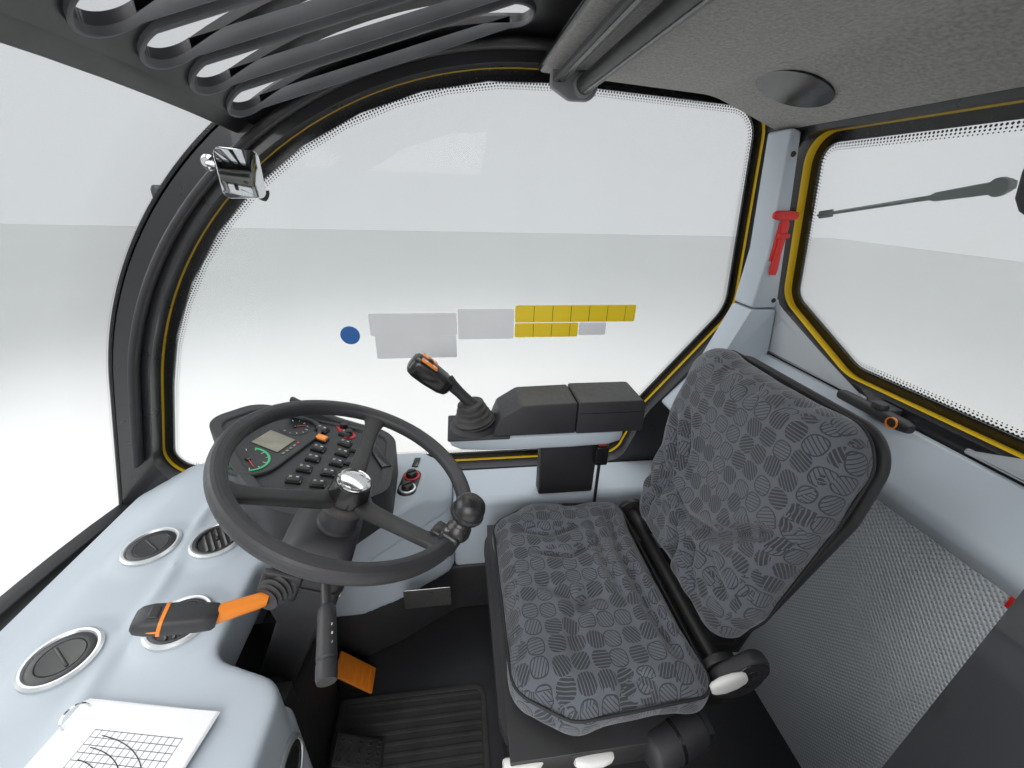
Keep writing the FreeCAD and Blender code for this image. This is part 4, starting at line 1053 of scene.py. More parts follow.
# Column, made from its tilt hinge upwards
columnSettings = {"tilt": (0, -0.3068, 0.47), "headFoot": 0.26, "bossFoot": 0.414}
onColumn = Matrix.Translation(columnSettings["tilt"]) @ Matrix.Rotation(math.radians(-24), 4, "X")


def columnRow(z, x0, x1, y0, y1, radius):
    corners = [(x0, y0, radius), (x1, y0, radius), (x1, y1, radius), (x0, y1, radius)]
    return [Vector((u, v, z)) for u, v in roundCorners(corners, 5)]


def makeColumn():
    h = columnSettings["headFoot"]
    # shroud that widens to the switch housing and closes in to the collar
    rows = [columnRow(0.004, -0.044, 0.044, -0.032, 0.032, 0.008),
            columnRow(0.10, -0.046, 0.046, -0.034, 0.034, 0.010),
            columnRow(0.17, -0.05, 0.05, -0.036, 0.036, 0.012),
            columnRow(0.222, -0.070, 0.066, -0.056, 0.040, 0.014),
            columnRow(0.250, -0.080, 0.070, -0.070, 0.044, 0.016),
            columnRow(0.330, -0.078, 0.066, -0.070, 0.042, 0.018),
            columnRow(0.352, -0.060, 0.060, -0.058, 0.040, 0.022),
            columnRow(0.366, -0.046, 0.046, -0.046, 0.038, 0.026),
            columnRow(0.371, -0.036, 0.036, -0.036, 0.036, 0.030)]
    shell = modify(loft(rows), "BEVEL", width=0.002, segments=2, limit_method="ANGLE",
                   angle_limit=math.radians(30))
    seam = prism(roundCorners([(-0.0812, -0.0712, 0.016), (0.0712, -0.0712, 0.016),
                               (0.0712, 0.0452, 0.016), (-0.0812, 0.0452, 0.016)], 5),
                 "XY", 0.2905, 0.2925, 0.0004, 1)
    neck = turned([(0, 0.35), (0.031, 0.35), (0.031, 0.362), (0.0335, 0.364), (0.0335, 0.372),
                   (0.030, 0.375), (0.030, 0.396), (0.0325, 0.398), (0.0325, 0.4125), (0, 0.4125)],
                  steps=44)
    hub = turned([(0, -0.055), (0.0235, -0.055), (0.0235, 0.055), (0, 0.055)], (0, 0, 0), (1, 0, 0), 36)
    pin = turned([(0, -0.088), (0.0078, -0.088), (0.0078, 0.088), (0, 0.088)], (0, 0, 0), (1, 0, 0), 20)
    for part in (shell, seam, neck):
        setMaterials(part, finish["darkMoulding"])
    for part in (hub, pin):
        setMaterials(part, finish["seatSteel"])
    screws = []
    for x, y in ((-0.052, 0.0436), (0.05, 0.0436)):
        screw = turned([(0, 0), (0.0045, 0), (0.0042, 0.0015), (0.0015, 0.0015), (0.0012, 0.0004),
                        (0, 0.0004)], (x, y - 0.0004, 0.27), (0, 1, 0), 20)
        screws.append(setMaterials(screw, finish["plainSteel"]))
    # stalk with its grip towards the seat
    boot = turned([(0, 0.0), (0.019, 0.0), (0.0195, 0.006), (0.0165, 0.008), (0.017, 0.013),
                   (0.0145, 0.015), (0.015, 0.020), (0.0125, 0.022), (0.0115, 0.028), (0, 0.028)],
                  (0.052, 0.004, h + 0.07), Vector((0.06, 0.02, 0)), 28)
    stem = tube([(0.062, 0.006, h + 0.07), (0.09, 0.015, h + 0.071), (0.122, 0.026, h + 0.07)],
                0.0075, 4)
    axis = (Vector((0.215, 0.052, h + 0.065)) - Vector((0.118, 0.025, h + 0.07)))
    gripLength = axis.length
    grip = turned([(0, 0.0), (0.0085, 0.0), (0.0120, 0.006), (0.0128, 0.018), (0.0122, 0.022),
                   (0.0126, 0.026), (0.0132, 0.066), (0.0132, 0.074), (0.0118, 0.0755),
                   (0.0118, 0.0775), (0.0134, 0.079), (0.0134, gripLength - 0.006),
                   (0.0118, gripLength), (0, gripLength)],
                  (0.118, 0.025, h + 0.07), axis, 32)
    # tilt lever on the other side
    lever = tube([(-0.062, 0.002, h + 0.054), (-0.09, 0.004, h + 0.062), (-0.128, 0.008, h + 0.072)],
                 0.0058, 3)
    leverGrip = tapered([(Vector((-0.116 - 0.055 * t, 0.007 + 0.005 * t, h + 0.069 + 0.015 * t)),
                          Vector((0.0, 0.0085 * w, 0)), Vector((0.0012, 0, 0.0062 * w)), 0.8)
                         for t, w in ((0, 0.8), (0.12, 1.0), (0.5, 1.08), (0.88, 1.0), (1, 0.7))])
    for part in (boot, grip, leverGrip):
        setMaterials(part, finish["gripRubber"])
    for part in (stem, lever):
        setMaterials(part, finish["seatSteel"])
    marks = []
    for k, along in enumerate((0.034, 0.046, 0.058)):
        centre = Vector((0.118, 0.025, h + 0.07)) + axis.normalized() * along
        mark = roundedBox((0, 0, 0), (0.004, 0.0012 + 0.001 * (k % 2), 0.0009), 0.0003, 1)
        marks.append(placed(setMaterials(mark, finish["leverWhite"]),
                            Matrix.Translation(centre + Vector((0, 0.0035, 0.0122)))))
    column = joinAll([placed(part, onColumn) for part in
                      (shell, seam, neck, hub, pin, boot, stem, grip, lever, leverGrip,
                       *screws, *marks)])
    return finishPiece(column, "columnShroud", "column", ["steering_column"])


def makeShuttle():
    h = columnSettings["headFoot"]
    start, bendSpot = Vector((0.0665, -0.048, h + 0.028)), Vector((0.092, -0.056, h + 0.028))
    bellows = []
    for i in range(9):
        reach = 0.0245 - 0.0011 * i + (0.003 if i % 2 == 0 else -0.0015)
        bellows.append((reach, 0.0038 * i))
    boot = turned([(0, 0)] + bellows + [(0, 0.0038 * 8)], start, Vector((1, -0.35, 0)), 32)
    plinth = roundedBox(start + Vector((0.001, 0, 0)), (0.012, 0.058, 0.056), 0.006, 3)
    stemEnd, headEnd = Vector((0.126, -0.116, h + 0.018)), Vector((0.139, -0.192, h + 0.008))
    run = (stemEnd - bendSpot)
    ahead = (headEnd - stemEnd).normalized()
    up = Vector((0, 0, 1))
    side = ahead.cross(up).normalized()
    stem = tapered([(bendSpot + run * t, side * 0.0115 * w, up * 0.0125 * w, 0.85)
                    for t, w in ((0, 0.85), (0.15, 0.95), (0.5, 1.0), (0.95, 1.08), (1.08, 1.1))], 24)
    head = tapered([(stemEnd + ahead * d, side * w, up * t, 0.6) for d, w, t in (
        (-0.010, 0.0120, 0.0120), (-0.006, 0.0150, 0.0145), (0.012, 0.0168, 0.0155),
        (0.040, 0.0178, 0.0160), (0.066, 0.0178, 0.0150), (0.078, 0.0160, 0.0120),
        (0.0825, 0.0120, 0.0080))], 28)
    trim = tapered([(stemEnd + ahead * (0.050 + d), side * w, up * t, 0.6) for d, w, t in (
        (-0.0015, 0.0170, 0.0155), (-0.001, 0.0183, 0.0166), (0.003, 0.0183, 0.0165),
        (0.0035, 0.0170, 0.0153))], 28)
    trimLow = tube([stemEnd + ahead * 0.05 - side * 0.0172 - up * 0.001,
                    stemEnd + ahead * 0.074 - side * 0.0166 - up * 0.001,
                    stemEnd + ahead * 0.0826 - up * 0.001,
                    stemEnd + ahead * 0.074 + side * 0.0166 - up * 0.001,
                    stemEnd + ahead * 0.05 + side * 0.0172 - up * 0.001], 0.0019, 3)
    rocker = roundedBox((0, 0, 0), (0.017, 0.012, 0.005), 0.0022, 3)
    turnTo = Matrix((side, ahead, up)).transposed().to_4x4()
    placed(rocker, Matrix.Translation(stemEnd + ahead * 0.062 + up * 0.0145) @ turnTo)
    setMaterials(boot, finish["bootRubber"])
    setMaterials(plinth, finish["darkMoulding"])
    setMaterials(stem, finish["leverOrange"])
    setMaterials(head, finish["gripRubber"])
    setMaterials(trim, finish["leverOrange"])
    setMaterials(trimLow, finish["leverOrange"])
    setMaterials(rocker, finish["gripRubber"])
    lever = joinAll([placed(part, onColumn) for part in
                     (boot, plinth, stem, head, trim, trimLow, rocker)])
    return finishPiece(lever, "shuttleLever", "column", ["shuttle_lever"], angle=45)


makeColumn()
makeShuttle()
print("wheel and column made")


# Dash, lower dash and the housing beside the legs, run together with soft corners
dashSettings = {"top": 0.645, "voxel": 0.006, "rounds": 14, "vent": 0.043,
                "vents": [(-0.145, -0.449, "open"), (0.036, -0.421, "open"),
                          (0.080, -0.560, "shut"), (-0.140, -0.568, "shut")]}


def makeDash():
    d = dashSettings
    swellings = []
    for x, y, kind in d["vents"]:
        swell = turned([(0, -0.02), (0.075, -0.02), (0.071, 0.0), (0.062, 0.004), (0.052, 0.0062),
                        (0, 0.0062)], (x, y, d["top"]), (0, 0, 1), 40)
        swellings.append(swell)
    # a soft ridge from the pod round to the near side
    ridge = tube([(-0.43, -0.47, 0.640), (-0.30, -0.535, 0.642), (-0.13, -0.50, 0.642),
                  (0.0, -0.49, 0.640), (0.14, -0.50, 0.640), (0.33, -0.46, 0.640),
                  (0.43, -0.40, 0.640)], 0.013, 4, order=4)
    dash = moulded(["dash", "knee_panel"], d["voxel"], d["rounds"], swellings + [ridge])
    setMaterials(dash, finish["greyMoulding"])
    finishPiece(dash, "dashMoulding", "cab", ["dash", "knee_panel"], angle=60)
    lower = moulded(["dash_lower_right"], d["voxel"], 10)
    setMaterials(lower, finish["greyMoulding"])
    finishPiece(lower, "dashLowerMoulding", "cab", ["dash_lower_right"], angle=60)


def makeVent(centre, direction, kind, name):
    r = dashSettings["vent"]
    ring = turned([(r * 0.86, -0.001), (r + 0.0065, -0.001), (r + 0.006, 0.005), (r + 0.002, 0.0078),
                   (r - 0.001, 0.0075), (r - 0.003, 0.004), (r * 0.86, 0.003)],
                  centre, direction, 56)
    setMaterials(ring, finish["silverRing"])
    if kind == "open":
        cup = turned([(0, -0.001), (r - 0.002, -0.001), (r - 0.002, 0.0056), (r - 0.005, 0.0066),
                      (r - 0.008, 0.0062), (r - 0.0095, 0.003), (0, 0.0022)], centre, direction, 56)
        parts = [setMaterials(cup, finish["ventBlack"])]
        toward = Vector((0, 0, 1)).rotation_difference(Vector(direction)).to_matrix().to_4x4()
        for i, off in enumerate((-0.021, -0.0105, 0.0, 0.0105, 0.021)):
            half = math.sqrt((r - 0.0095) ** 2 - off ** 2) - 0.0008
            slat = roundedBox((0, off, 0.0042), (2 * half, 0.0072, 0.0014), 0.0006, 2, (32, 0, 0))
            parts.append(placed(setMaterials(slat, finish["ventBlack"]),
                                Matrix.Translation(centre) @ toward
                                @ Matrix.Rotation(0.6, 4, "Z")))
        tab = roundedBox((0, 0, 0.0062), (0.012, 0.005, 0.004), 0.0012, 2)
        parts.append(placed(setMaterials(tab, finish["ventBlack"]),
                            Matrix.Translation(centre) @ toward @ Matrix.Rotation(0.6, 4, "Z")))
    else:
        disc = turned([(0, -0.001), (r - 0.003, -0.001), (r - 0.003, 0.0044), (r - 0.006, 0.0056),
                       (r - 0.013, 0.0056), (r - 0.0142, 0.0046), (r - 0.0155, 0.0056),
                       (0.012, 0.0044), (0, 0.0042)], centre, direction, 56)
        parts = [setMaterials(disc, finish["ventBlack"])]
        toward = Vector((0, 0, 1)).rotation_difference(Vector(direction)).to_matrix().to_4x4()
        fin = roundedBox((0, 0, 0.0055), (0.05, 0.0045, 0.003), 0.0014, 2)
        parts.append(placed(setMaterials(fin, finish["ventBlack"]),
                            Matrix.Translation(centre) @ toward @ Matrix.Rotation(0.9, 4, "Z")))
    return joinAll([ring] + parts)


makeDash()
vents = [makeVent(Vector((x, y, dashSettings["top"] + 0.0045)), (0, 0, 1), kind, "")
         for x, y, kind in dashSettings["vents"]]
vents.append(makeVent(Vector((0.2, -0.2252, 0.505)), (0, 1, 0), "open", ""))
finishPiece(joinAll(vents), "airVentRings", "cab", ["air_vents"])
print("dash and vents made")

# Instrument pod: body under a sloping face, with a visor at its far side
podSettings = {"origin": (0, -0.505, 0.85), "slope": 17,
               "plan": [(-0.412, -0.440, 0.06), (-0.300, -0.500, 0.06), (-0.165, -0.395, 0.04),
                        (-0.070, -0.300, 0.06), (-0.062, -0.215, 0.05), (-0.175, -0.105, 0.05),
                        (-0.400, -0.115, 0.06)]}
onPod = Matrix.Translation(podSettings["origin"]) @ Matrix.Rotation(
    math.radians(-podSettings["slope"]), 4, "X")


def podTop(y):
    return 0.85 - (y + 0.505) * math.tan(math.radians(podSettings["slope"]))


def makePod():
    outline = roundCorners(podSettings["plan"], 8)
    inner = roundCorners(grown(podSettings["plan"], -0.016), 8)
    sunk = roundCorners(grown(podSettings["plan"], -0.022), 8)
    foot = roundCorners(grown(podSettings["plan"], -0.002), 8)
    count = len(outline)

    def resampled(points):
        # the same number of evenly spaced points, from the one nearest the first corner
        total = [0.0]
        closed = points + [points[0]]
        for a, b in zip(closed, closed[1:]):
            total.append(total[-1] + (b - a).length)
        result, k = [], 0
        for i in range(96):
            want = total[-1] * i / 96
            while total[k + 1] < want:
                k += 1
            part = (want - total[k]) / (total[k + 1] - total[k])
            result.append(closed[k].lerp(closed[k + 1], part))
        return result

    rings = [resampled(points) for points in (foot, outline, outline, outline, inner, sunk, sunk)]
    drops = [None, 0.03, 0.006, 0.0, 0.0, 0.002, 0.009]
    sections = []
    for ringPoints, drop in zip(rings, drops):
        sections.append([Vector((u, v, 0.642 if drop is None else podTop(v) - drop))
                         for u, v in ringPoints])
    pod = loft(sections)
    modify(pod, "BEVEL", width=0.003, segments=3, limit_method="ANGLE",
           angle_limit=math.radians(35))
    setMaterials(pod, finish["podShell"])

    # the visor's height follows the outline from the near end to the far corner and round it
    def visorHeight(u, v):
        far = math.exp(-((u + 0.405) ** 2 + (v + 0.42) ** 2) / 0.016) * 0.052
        front = max(0.0, 1 - abs((v + 0.47) / 0.10)) * 0.020 if u < -0.12 else 0.0
        return far + front

    line = [p for p in resampled(outline)]
    order = sorted(range(96), key=lambda i: (line[i] - Vector((-0.10, -0.33))).length)
    start = order[0]
    rows = []
    for i in range(96):
        a = line[(start - i) % 96]
        b = resampled(inner)[(start - i) % 96] if i == -1 else None
        rows.append(a)
    innerLine = resampled(inner)
    sections = []
    for i in range(60):
        a, c = line[(start + visorStep * i) % 96], innerLine[(start + visorStep * i) % 96]
        rise = visorHeight(a.x, a.y) + 0.0012
        lean = (c - a).normalized()
        top = podTop(a.y)
        sections.append([Vector((a.x, a.y, top - 0.004)), Vector((a.x, a.y, top + rise * 0.7)),
                         Vector((a.x + lean.x * 0.004, a.y + lean.y * 0.004, top + rise)),
                         Vector((a.x + lean.x * 0.013, a.y + lean.y * 0.013, top + rise + 0.0015)),
                         Vector((a.x + lean.x * 0.0185, a.y + lean.y * 0.0185, top + rise * 0.9)),
                         Vector((a.x + lean.x * 0.016, a.y + lean.y * 0.016, top - 0.004))])
    visor = loft(sections)
    setMaterials(smooth(visor, 50), finish["podShell"])
    piece = joinAll([smooth(pod, 40), visor])
    return finishPiece(piece, "instrumentHood", "cab", ["instrument_pod"], angle=0)


visorStep = 1
makePod()


def dial(centre, radius, band, needleTurn, small=False):
    # a round gauge lying on the pod's face: ring of marks, coloured band, needle and cap
    parts = []
    face = turned([(0, 0), (radius, 0), (radius, 0.0008), (0, 0.0008)], (*centre, 0.001), (0, 0, 1), 48)
    parts.append(setMaterials(face, finish["dialFace"]))
    for i in range(9):
        turn = math.radians(225 - 30 * i)
        long = 0.16 if i % 2 == 0 else 0.1
        mark = roundedBox((radius * (0.86 - long / 2), 0, 0.0021),
                          (radius * long, 0.0011, 0.0006), 0.0002, 1)
        parts.append(placed(setMaterials(mark, finish["leverWhite"]),
                            Matrix.Translation((*centre, 0)) @ Matrix.Rotation(turn, 4, "Z")))
    if band:
        arc = []
        for i in range(26):
            turn = math.radians(200 - 230 * i / 25)
            arc.append([Vector((centre[0] + r * math.cos(turn), centre[1] + r * math.sin(turn), h))
                        for r, h in ((radius * 0.87, 0.0018), (radius * 0.98, 0.0018),
                                     (radius * 0.98, 0.0026), (radius * 0.87, 0.0026))])
        parts.append(setMaterials(loft(arc), finish["dialGreen"]))
    needle = roundedBox((radius * 0.32, 0, 0.0038), (radius * 0.8, 0.0018, 0.0008), 0.0003, 1)
    parts.append(placed(setMaterials(needle, finish["buttonRed"]),
                        Matrix.Translation((*centre, 0)) @ Matrix.Rotation(needleTurn, 4, "Z")))
    hub = turned([(0, 0.002), (radius * 0.14, 0.002), (radius * 0.12, 0.0052), (0, 0.0058)],
                 (*centre, 0), (0, 0, 1), 24)
    parts.append(setMaterials(hub, finish["glossBlack"]))
    return parts


def makeCluster():
    # oval panel with two dials and a plain display between them
    slant = math.radians(-18)
    centre = Vector((-0.272, 0.150))
    half = (0.118, 0.056)
    base = [(-half[0], -half[1], half[1] * 0.9), (half[0], -half[1], half[1] * 0.9),
            (half[0], half[1], half[1] * 0.9), (-half[0], half[1], half[1] * 0.9)]
    place = Matrix.Translation((centre.x, centre.y, -0.0085)) @ Matrix.Rotation(slant, 4, "Z")
    bezel = sheetOf([roundCorners(grown(base, 0.010), 8), roundCorners(base, 8)], "XY", 0, 0.009,
                    0.003, 3)
    plate = prism(roundCorners(grown(base, 0.002), 8), "XY", 0, 0.001, 0.0003, 1)
    parts = [setMaterials(bezel, finish["podShell"]), setMaterials(plate, finish["dialFace"])]
    parts += dial((0.072, 0.004), 0.041, True, math.radians(60))
    parts += dial((-0.078, 0.0), 0.034, False, math.radians(140))
    screen = roundedBox((-0.006, 0.002, 0.0022), (0.058, 0.062, 0.002), 0.0008, 2)
    parts.append(setMaterials(screen, finish["displayGrey"]))
    lamps = []
    for i in range(5):
        lamp = roundedBox((-0.03 + 0.012 * i, 0.043, 0.0018), (0.007, 0.005, 0.001), 0.0004, 1)
        lamps.append(setMaterials(lamp, finish["buttonRed" if i == 0 else "displayGrey"]))
    parts += lamps
    cluster = joinAll([placed(part, onPod @ place) for part in parts])
    finishPiece(cluster, "gaugeCluster", "cab")


def makeRockers():
    # rows of rocker switches that fan out beside the gauges
    housing = roundedBox((0, 0, 0), (0.0235, 0.0165, 0.006), 0.0012, 2)
    cap = roundedBox((0, 0, 0.0042), (0.0195, 0.0128, 0.0055), 0.002, 3, (6, 0, 0))
    mark = roundedBox((0.0045, 0.0, 0.0074), (0.0042, 0.0016, 0.0006), 0.0002, 1, (6, 0, 0))
    lens = roundedBox((-0.0055, 0.0, 0.0073), (0.0042, 0.0042, 0.0008), 0.0003, 1, (6, 0, 0))
    setMaterials(housing, finish["glossBlack"])
    setMaterials(cap, finish["podShell"])
    setMaterials(mark, finish["leverWhite"])
    setMaterials(lens, finish["displayGrey"])
    parts = []
    for row in range(2):
        for i in range(6):
            x = -0.163 - 0.0385 * i
            y = 0.232 + 0.046 * row + 0.020 * math.sin(math.pi * i / 6) - 0.006 * i * (1 - row) * 0.3
            turn = Matrix.Translation((x, y, -0.0065)) @ Matrix.Rotation(
                math.radians(96 - 5 * i), 4, "Z") @ Matrix.Scale(1.25, 4)
            orange = row == 0 and i == 4
            for part in (housing, cap, mark, lens):
                if orange and part is lens:
                    continue
                twin = copied(part, onPod @ turn)
                if orange and part is cap:
                    setMaterials(twin, finish["leverOrange"])
                parts.append(twin)
    for i in range(3):
        turn = Matrix.Translation((-0.20 - 0.05 * i, 0.325, -0.0065)) @ Matrix.Rotation(
            math.radians(92 - 4 * i), 4, "Z") @ Matrix.Scale(1.25, 4)
        for part in (housing, cap, mark):
            parts.append(copied(part, onPod @ turn))
    deselectAll()
    for part in (housing, cap, mark, lens):
        part.select_set(True)
    bpy.ops.object.delete()
    # switch in a red oval surround at the far end
    oval = prism(roundCorners([(-0.034, -0.015, 0.014), (0.034, -0.015, 0.014),
                               (0.034, 0.015, 0.014), (-0.034, 0.015, 0.014)], 6),
                 "XY", 0, 0.003, 0.001, 2)
    knobs = [turned([(0, 0), (0.0095, 0), (0.009, 0.010), (0.007, 0.012), (0, 0.012)],
                    (x, 0, 0.0025), (0, 0, 1), 28) for x in (-0.015, 0.015)]
    place = Matrix.Translation((-0.372, 0.285, -0.0085)) @ Matrix.Rotation(math.radians(35), 4, "Z")
    parts.append(placed(setMaterials(oval, finish["buttonRed"]), onPod @ place))
    for knob in knobs:
        parts.append(placed(setMaterials(knob, finish["glossBlack"]), onPod @ place))
    screw = turned([(0, 0), (0.0055, 0), (0.005, 0.002), (0.002, 0.002), (0.0016, 0.0006),
                    (0, 0.0006)], (-0.140, 0.168, -0.0085), (0, 0, 1), 24)
    parts.append(placed(setMaterials(screw, finish["plainSteel"]), onPod))
    # raised ridge along the near edge
    rib = roundedBox((-0.30, 0.372, -0.004), (0.022, 0.12, 0.014), 0.004, 3, (0, 0, -58))
    parts.append(placed(setMaterials(rib, finish["glossBlack"]), onPod))
    finishPiece(joinAll(parts), "rockerSwitches", "cab")


makeCluster()
makeRockers()
print("instruments made")


# Trims and consoles that keep their CAD form, with their rims rounded over
softParts = {
    "post_trim_left": ("postTrimLeft", "darkMoulding", 0.006, "cab", "black_moulding"),
    "post_trim_right": ("postTrimRight", "darkMoulding", 0.006, "cab", "black_moulding"),
    "corner_trim_left": ("cornerTrimLeft", "greyMoulding", 0.010, "cab", "grey_moulding"),
    "corner_trim_right": ("cornerTrimRight", "greyMoulding", 0.010, "cab", "grey_moulding"),
    "rear_panel": ("rearShelfMoulding", "greyMoulding", 0.005, "cab", "grey_moulding"),
    "side_console": ("sideConsoleMoulding", "greyMoulding", 0.012, "cab", "grey_moulding"),
    "heater_box": ("heaterCover", "darkMoulding", 0.008, "cab", "black_moulding"),
    "front_header": ("frontHeaderBar", "blackPaint", 0.004, "cab", "black_paint"),
    "cowl": ("cowlBar", "blackPaint", 0.004, "cab", "black_paint"),
    "front_wall": ("frontWallPlate", "blackPaint", 0.003, "cab", "black_paint"),
    "floor_frame": ("floorFrameWelded", "blackPaint", 0.003, "cab", "black_paint"),
    "column_base": ("columnBaseCover", "darkMoulding", 0.008, "cab", "black_moulding"),
    "door_frame": ("doorFrameTube", "blackPaint", 0.004, "door", "black_paint"),
    "door_hinges": ("doorHingePosts", "blackPaint", 0.0015, "cab", "black_paint"),
    "door_handles": ("doorPulls", "darkMoulding", 0.004, "door", "black_moulding"),
    "seat_rails": ("seatSlideRails", "seatSteel", 0.002, "cab", "seat_steel"),
    "back_bracket": ("backHingeBracket", "seatSteel", 0.003, "back", "seat_steel"),
    "back_shell": ("backShellCover", "darkMoulding", 0.007, "back", "black_moulding"),
    "seat_base": ("seatPlinth", "darkMoulding", 0.010, "cab", "black_moulding"),
}


def softenParts():
    for node, (name, material, width, body, slot) in softParts.items():
        piece = softened(node, width)
        setMaterials(piece, finish[material])
        finishPiece(piece, name, body, [node])


softenParts()
print("trims and consoles rounded")

# Arm console: pale tray, two-part pad and the joystick
armSettings = {"x": (-0.352, -0.242), "front": 0.02, "padFront": 0.14, "rear": 0.48,
               "tray": (0.755, 0.80), "top": 0.885, "split": 0.315}


def makeArm():
    a = armSettings
    x0, x1 = a["x"]
    mid, half = (x0 + x1) / 2, (x1 - x0) / 2
    rows = []
    for y, wide, low, high in ((0.021, 0.030, 0.782, 0.799), (0.028, 0.040, 0.772, 0.7995),
                               (0.05, 0.046, 0.763, 0.7995), (0.12, 0.047, 0.757, 0.7995),
                               (0.30, 0.047, 0.7555, 0.7995), (0.40, 0.045, 0.757, 0.7995),
                               (0.432, 0.040, 0.764, 0.7995), (0.439, 0.034, 0.772, 0.799)):
        centre, h = (low + high) / 2, (high - low) / 2
        rows.append((Vector((mid - 0.001, y, centre)), Vector((wide, 0, 0)), Vector((0, 0, h)), 0.42))
    tray = tapered(rows, 32)
    post = roundedBox((-0.327, 0.325, 0.665), (0.042, 0.15, 0.18), 0.006, 3)
    lip = roundedBox((mid, 0.09, 0.801), (0.112, 0.142, 0.008), 0.0038, 3)
    plinth = turned([(0, 0.0), (0.058, 0.0), (0.0585, 0.006), (0.052, 0.014), (0.047, 0.0165),
                     (0, 0.0165)], (-0.3, 0.082, 0.799), (0, 0, 1), 44)
    setMaterials(tray, finish["greyMoulding"])
    setMaterials(post, finish["darkMoulding"])
    setMaterials(lip, finish["darkMoulding"])
    setMaterials(plinth, finish["darkMoulding"])
    finishPiece(joinAll([smooth(tray, 60), post, lip, plinth]), "armTray", "cab",
                ["arm_support"], angle=35)
    # pad: a long low front part with a sloped nose, and a lidded box behind it
    front = prism(roundCorners([(0.12, 0.803, 0.003), (0.138, 0.850, 0.012), (0.185, 0.880, 0.02),
                                (a["split"] - 0.001, 0.883, 0.006),
                                (a["split"] - 0.001, 0.803, 0.003)], 5), "YZ", x0 + 0.004, x1 - 0.004,
                  0.011, 4)
    rear = prism(roundCorners([(a["split"] + 0.001, 0.803, 0.003), (a["split"] + 0.001, 0.8845, 0.006),
                               (0.476, 0.8845, 0.014), (0.478, 0.803, 0.006)], 5), "YZ",
                 x0 + 0.001, x1 - 0.001, 0.009, 4)
    lid = roundedBox((mid, 0.397, 0.856), (half * 2 - 0.0005, 0.156, 0.0016), 0.0007, 1)
    hook = roundedBox((mid + 0.01, a["split"] - 0.004, 0.8855), (0.004, 0.004, 0.002), 0.0008, 1)
    for part in (front, rear):
        setMaterials(part, finish["padVinyl"])
    for part in (lid, hook):
        setMaterials(part, finish["glossBlack"])
    finishPiece(joinAll([front, rear, lid, hook]), "armRestPad", "cab", ["arm_pad"])


def makeJoystick():
    base = Vector((-0.3, 0.082, 0.8155))
    rings = []
    for i in range(15):
        t = i / 14
        reach = 0.046 - 0.020 * t ** 0.8 + (0.0042 if i % 4 in (1, 2) else -0.0022)
        rings.append((reach, 0.046 * t))
    boot = turned([(0, 0), (0.05, 0), (0.0505, 0.003)] + [(r, h + 0.004) for r, h in rings]
                  + [(0.0, 0.050)], base, Vector((0, -0.18, 1)), 44)
    setMaterials(smooth(boot, 60), finish["bootRubber"])
    top = base + Vector((0, -0.010, 0.050))
    stem = tapered([(top + Vector((0, -0.045 * t, 0.052 * t)), Vector((0.011 * w, 0, 0)),
                     Vector((0, 0.010 * w, 0.0085 * w)), 0.9)
                    for t, w in ((-0.15, 1.2), (0.1, 1.0), (0.5, 0.95), (0.9, 1.1), (1.1, 1.3))], 22)
    setMaterials(stem, finish["darkMoulding"])
    # head: a block that leans away from the driver, with orange keys and a black thumb wheel
    tip = Vector((-0.3, 0.018, 0.912))
    ahead = Vector((0, -0.76, 0.65)).normalized()
    side = Vector((1, 0, 0))
    up = side.cross(ahead).normalized()
    if up.z < 0:
        up = -up
    head = tapered([(tip + ahead * d, side * w, up * t, 0.5) for d, w, t in (
        (-0.012, 0.014, 0.012), (-0.006, 0.0205, 0.0185), (0.010, 0.0245, 0.0225),
        (0.046, 0.0265, 0.0245), (0.076, 0.0268, 0.0235), (0.088, 0.0245, 0.0205),
        (0.093, 0.019, 0.015))], 28)
    setMaterials(smooth(head, 50), finish["glossBlack"])
    parts = [boot, stem, head]
    facing = Matrix((side, ahead, up)).transposed().to_4x4()
    for x in (-0.0145, 0.0145):
        key = roundedBox((x, 0, 0), (0.0165, 0.040, 0.004), 0.003, 3)
        setMaterials(key, finish["leverOrange"])
        parts.append(placed(key, Matrix.Translation(tip + ahead * 0.06 + up * 0.0232) @ facing))
        for y in (-0.011, 0.009):
            dot = turned([(0, 0), (0.0045, 0), (0.0042, 0.0014), (0, 0.0020)], (x, y, 0.0018),
                         (0, 0, 1), 20)
            setMaterials(dot, finish["keyPale"])
            parts.append(placed(dot, Matrix.Translation(tip + ahead * 0.06 + up * 0.0232) @ facing))
    roller = turned([(0, -0.0035), (0.0085, -0.0035), (0.0095, -0.002), (0.0095, 0.002),
                     (0.0085, 0.0035), (0, 0.0035)], (0, 0, 0), (1, 0, 0), 28)
    setMaterials(roller, finish["darkMoulding"])
    parts.append(placed(roller, Matrix.Translation(tip + ahead * 0.06 + up * 0.0205) @ facing))
    cheek = roundedBox((0, 0, 0), (0.011, 0.056, 0.004), 0.0015, 2)
    setMaterials(cheek, finish["seatSteel"])
    parts.append(placed(cheek, Matrix.Translation(tip + ahead * 0.058 + up * 0.0222) @ facing))
    finishPiece(joinAll(parts), "joystickLever", "cab", ["joystick"], angle=45)


makeArm()
makeJoystick()
print("arm console made")

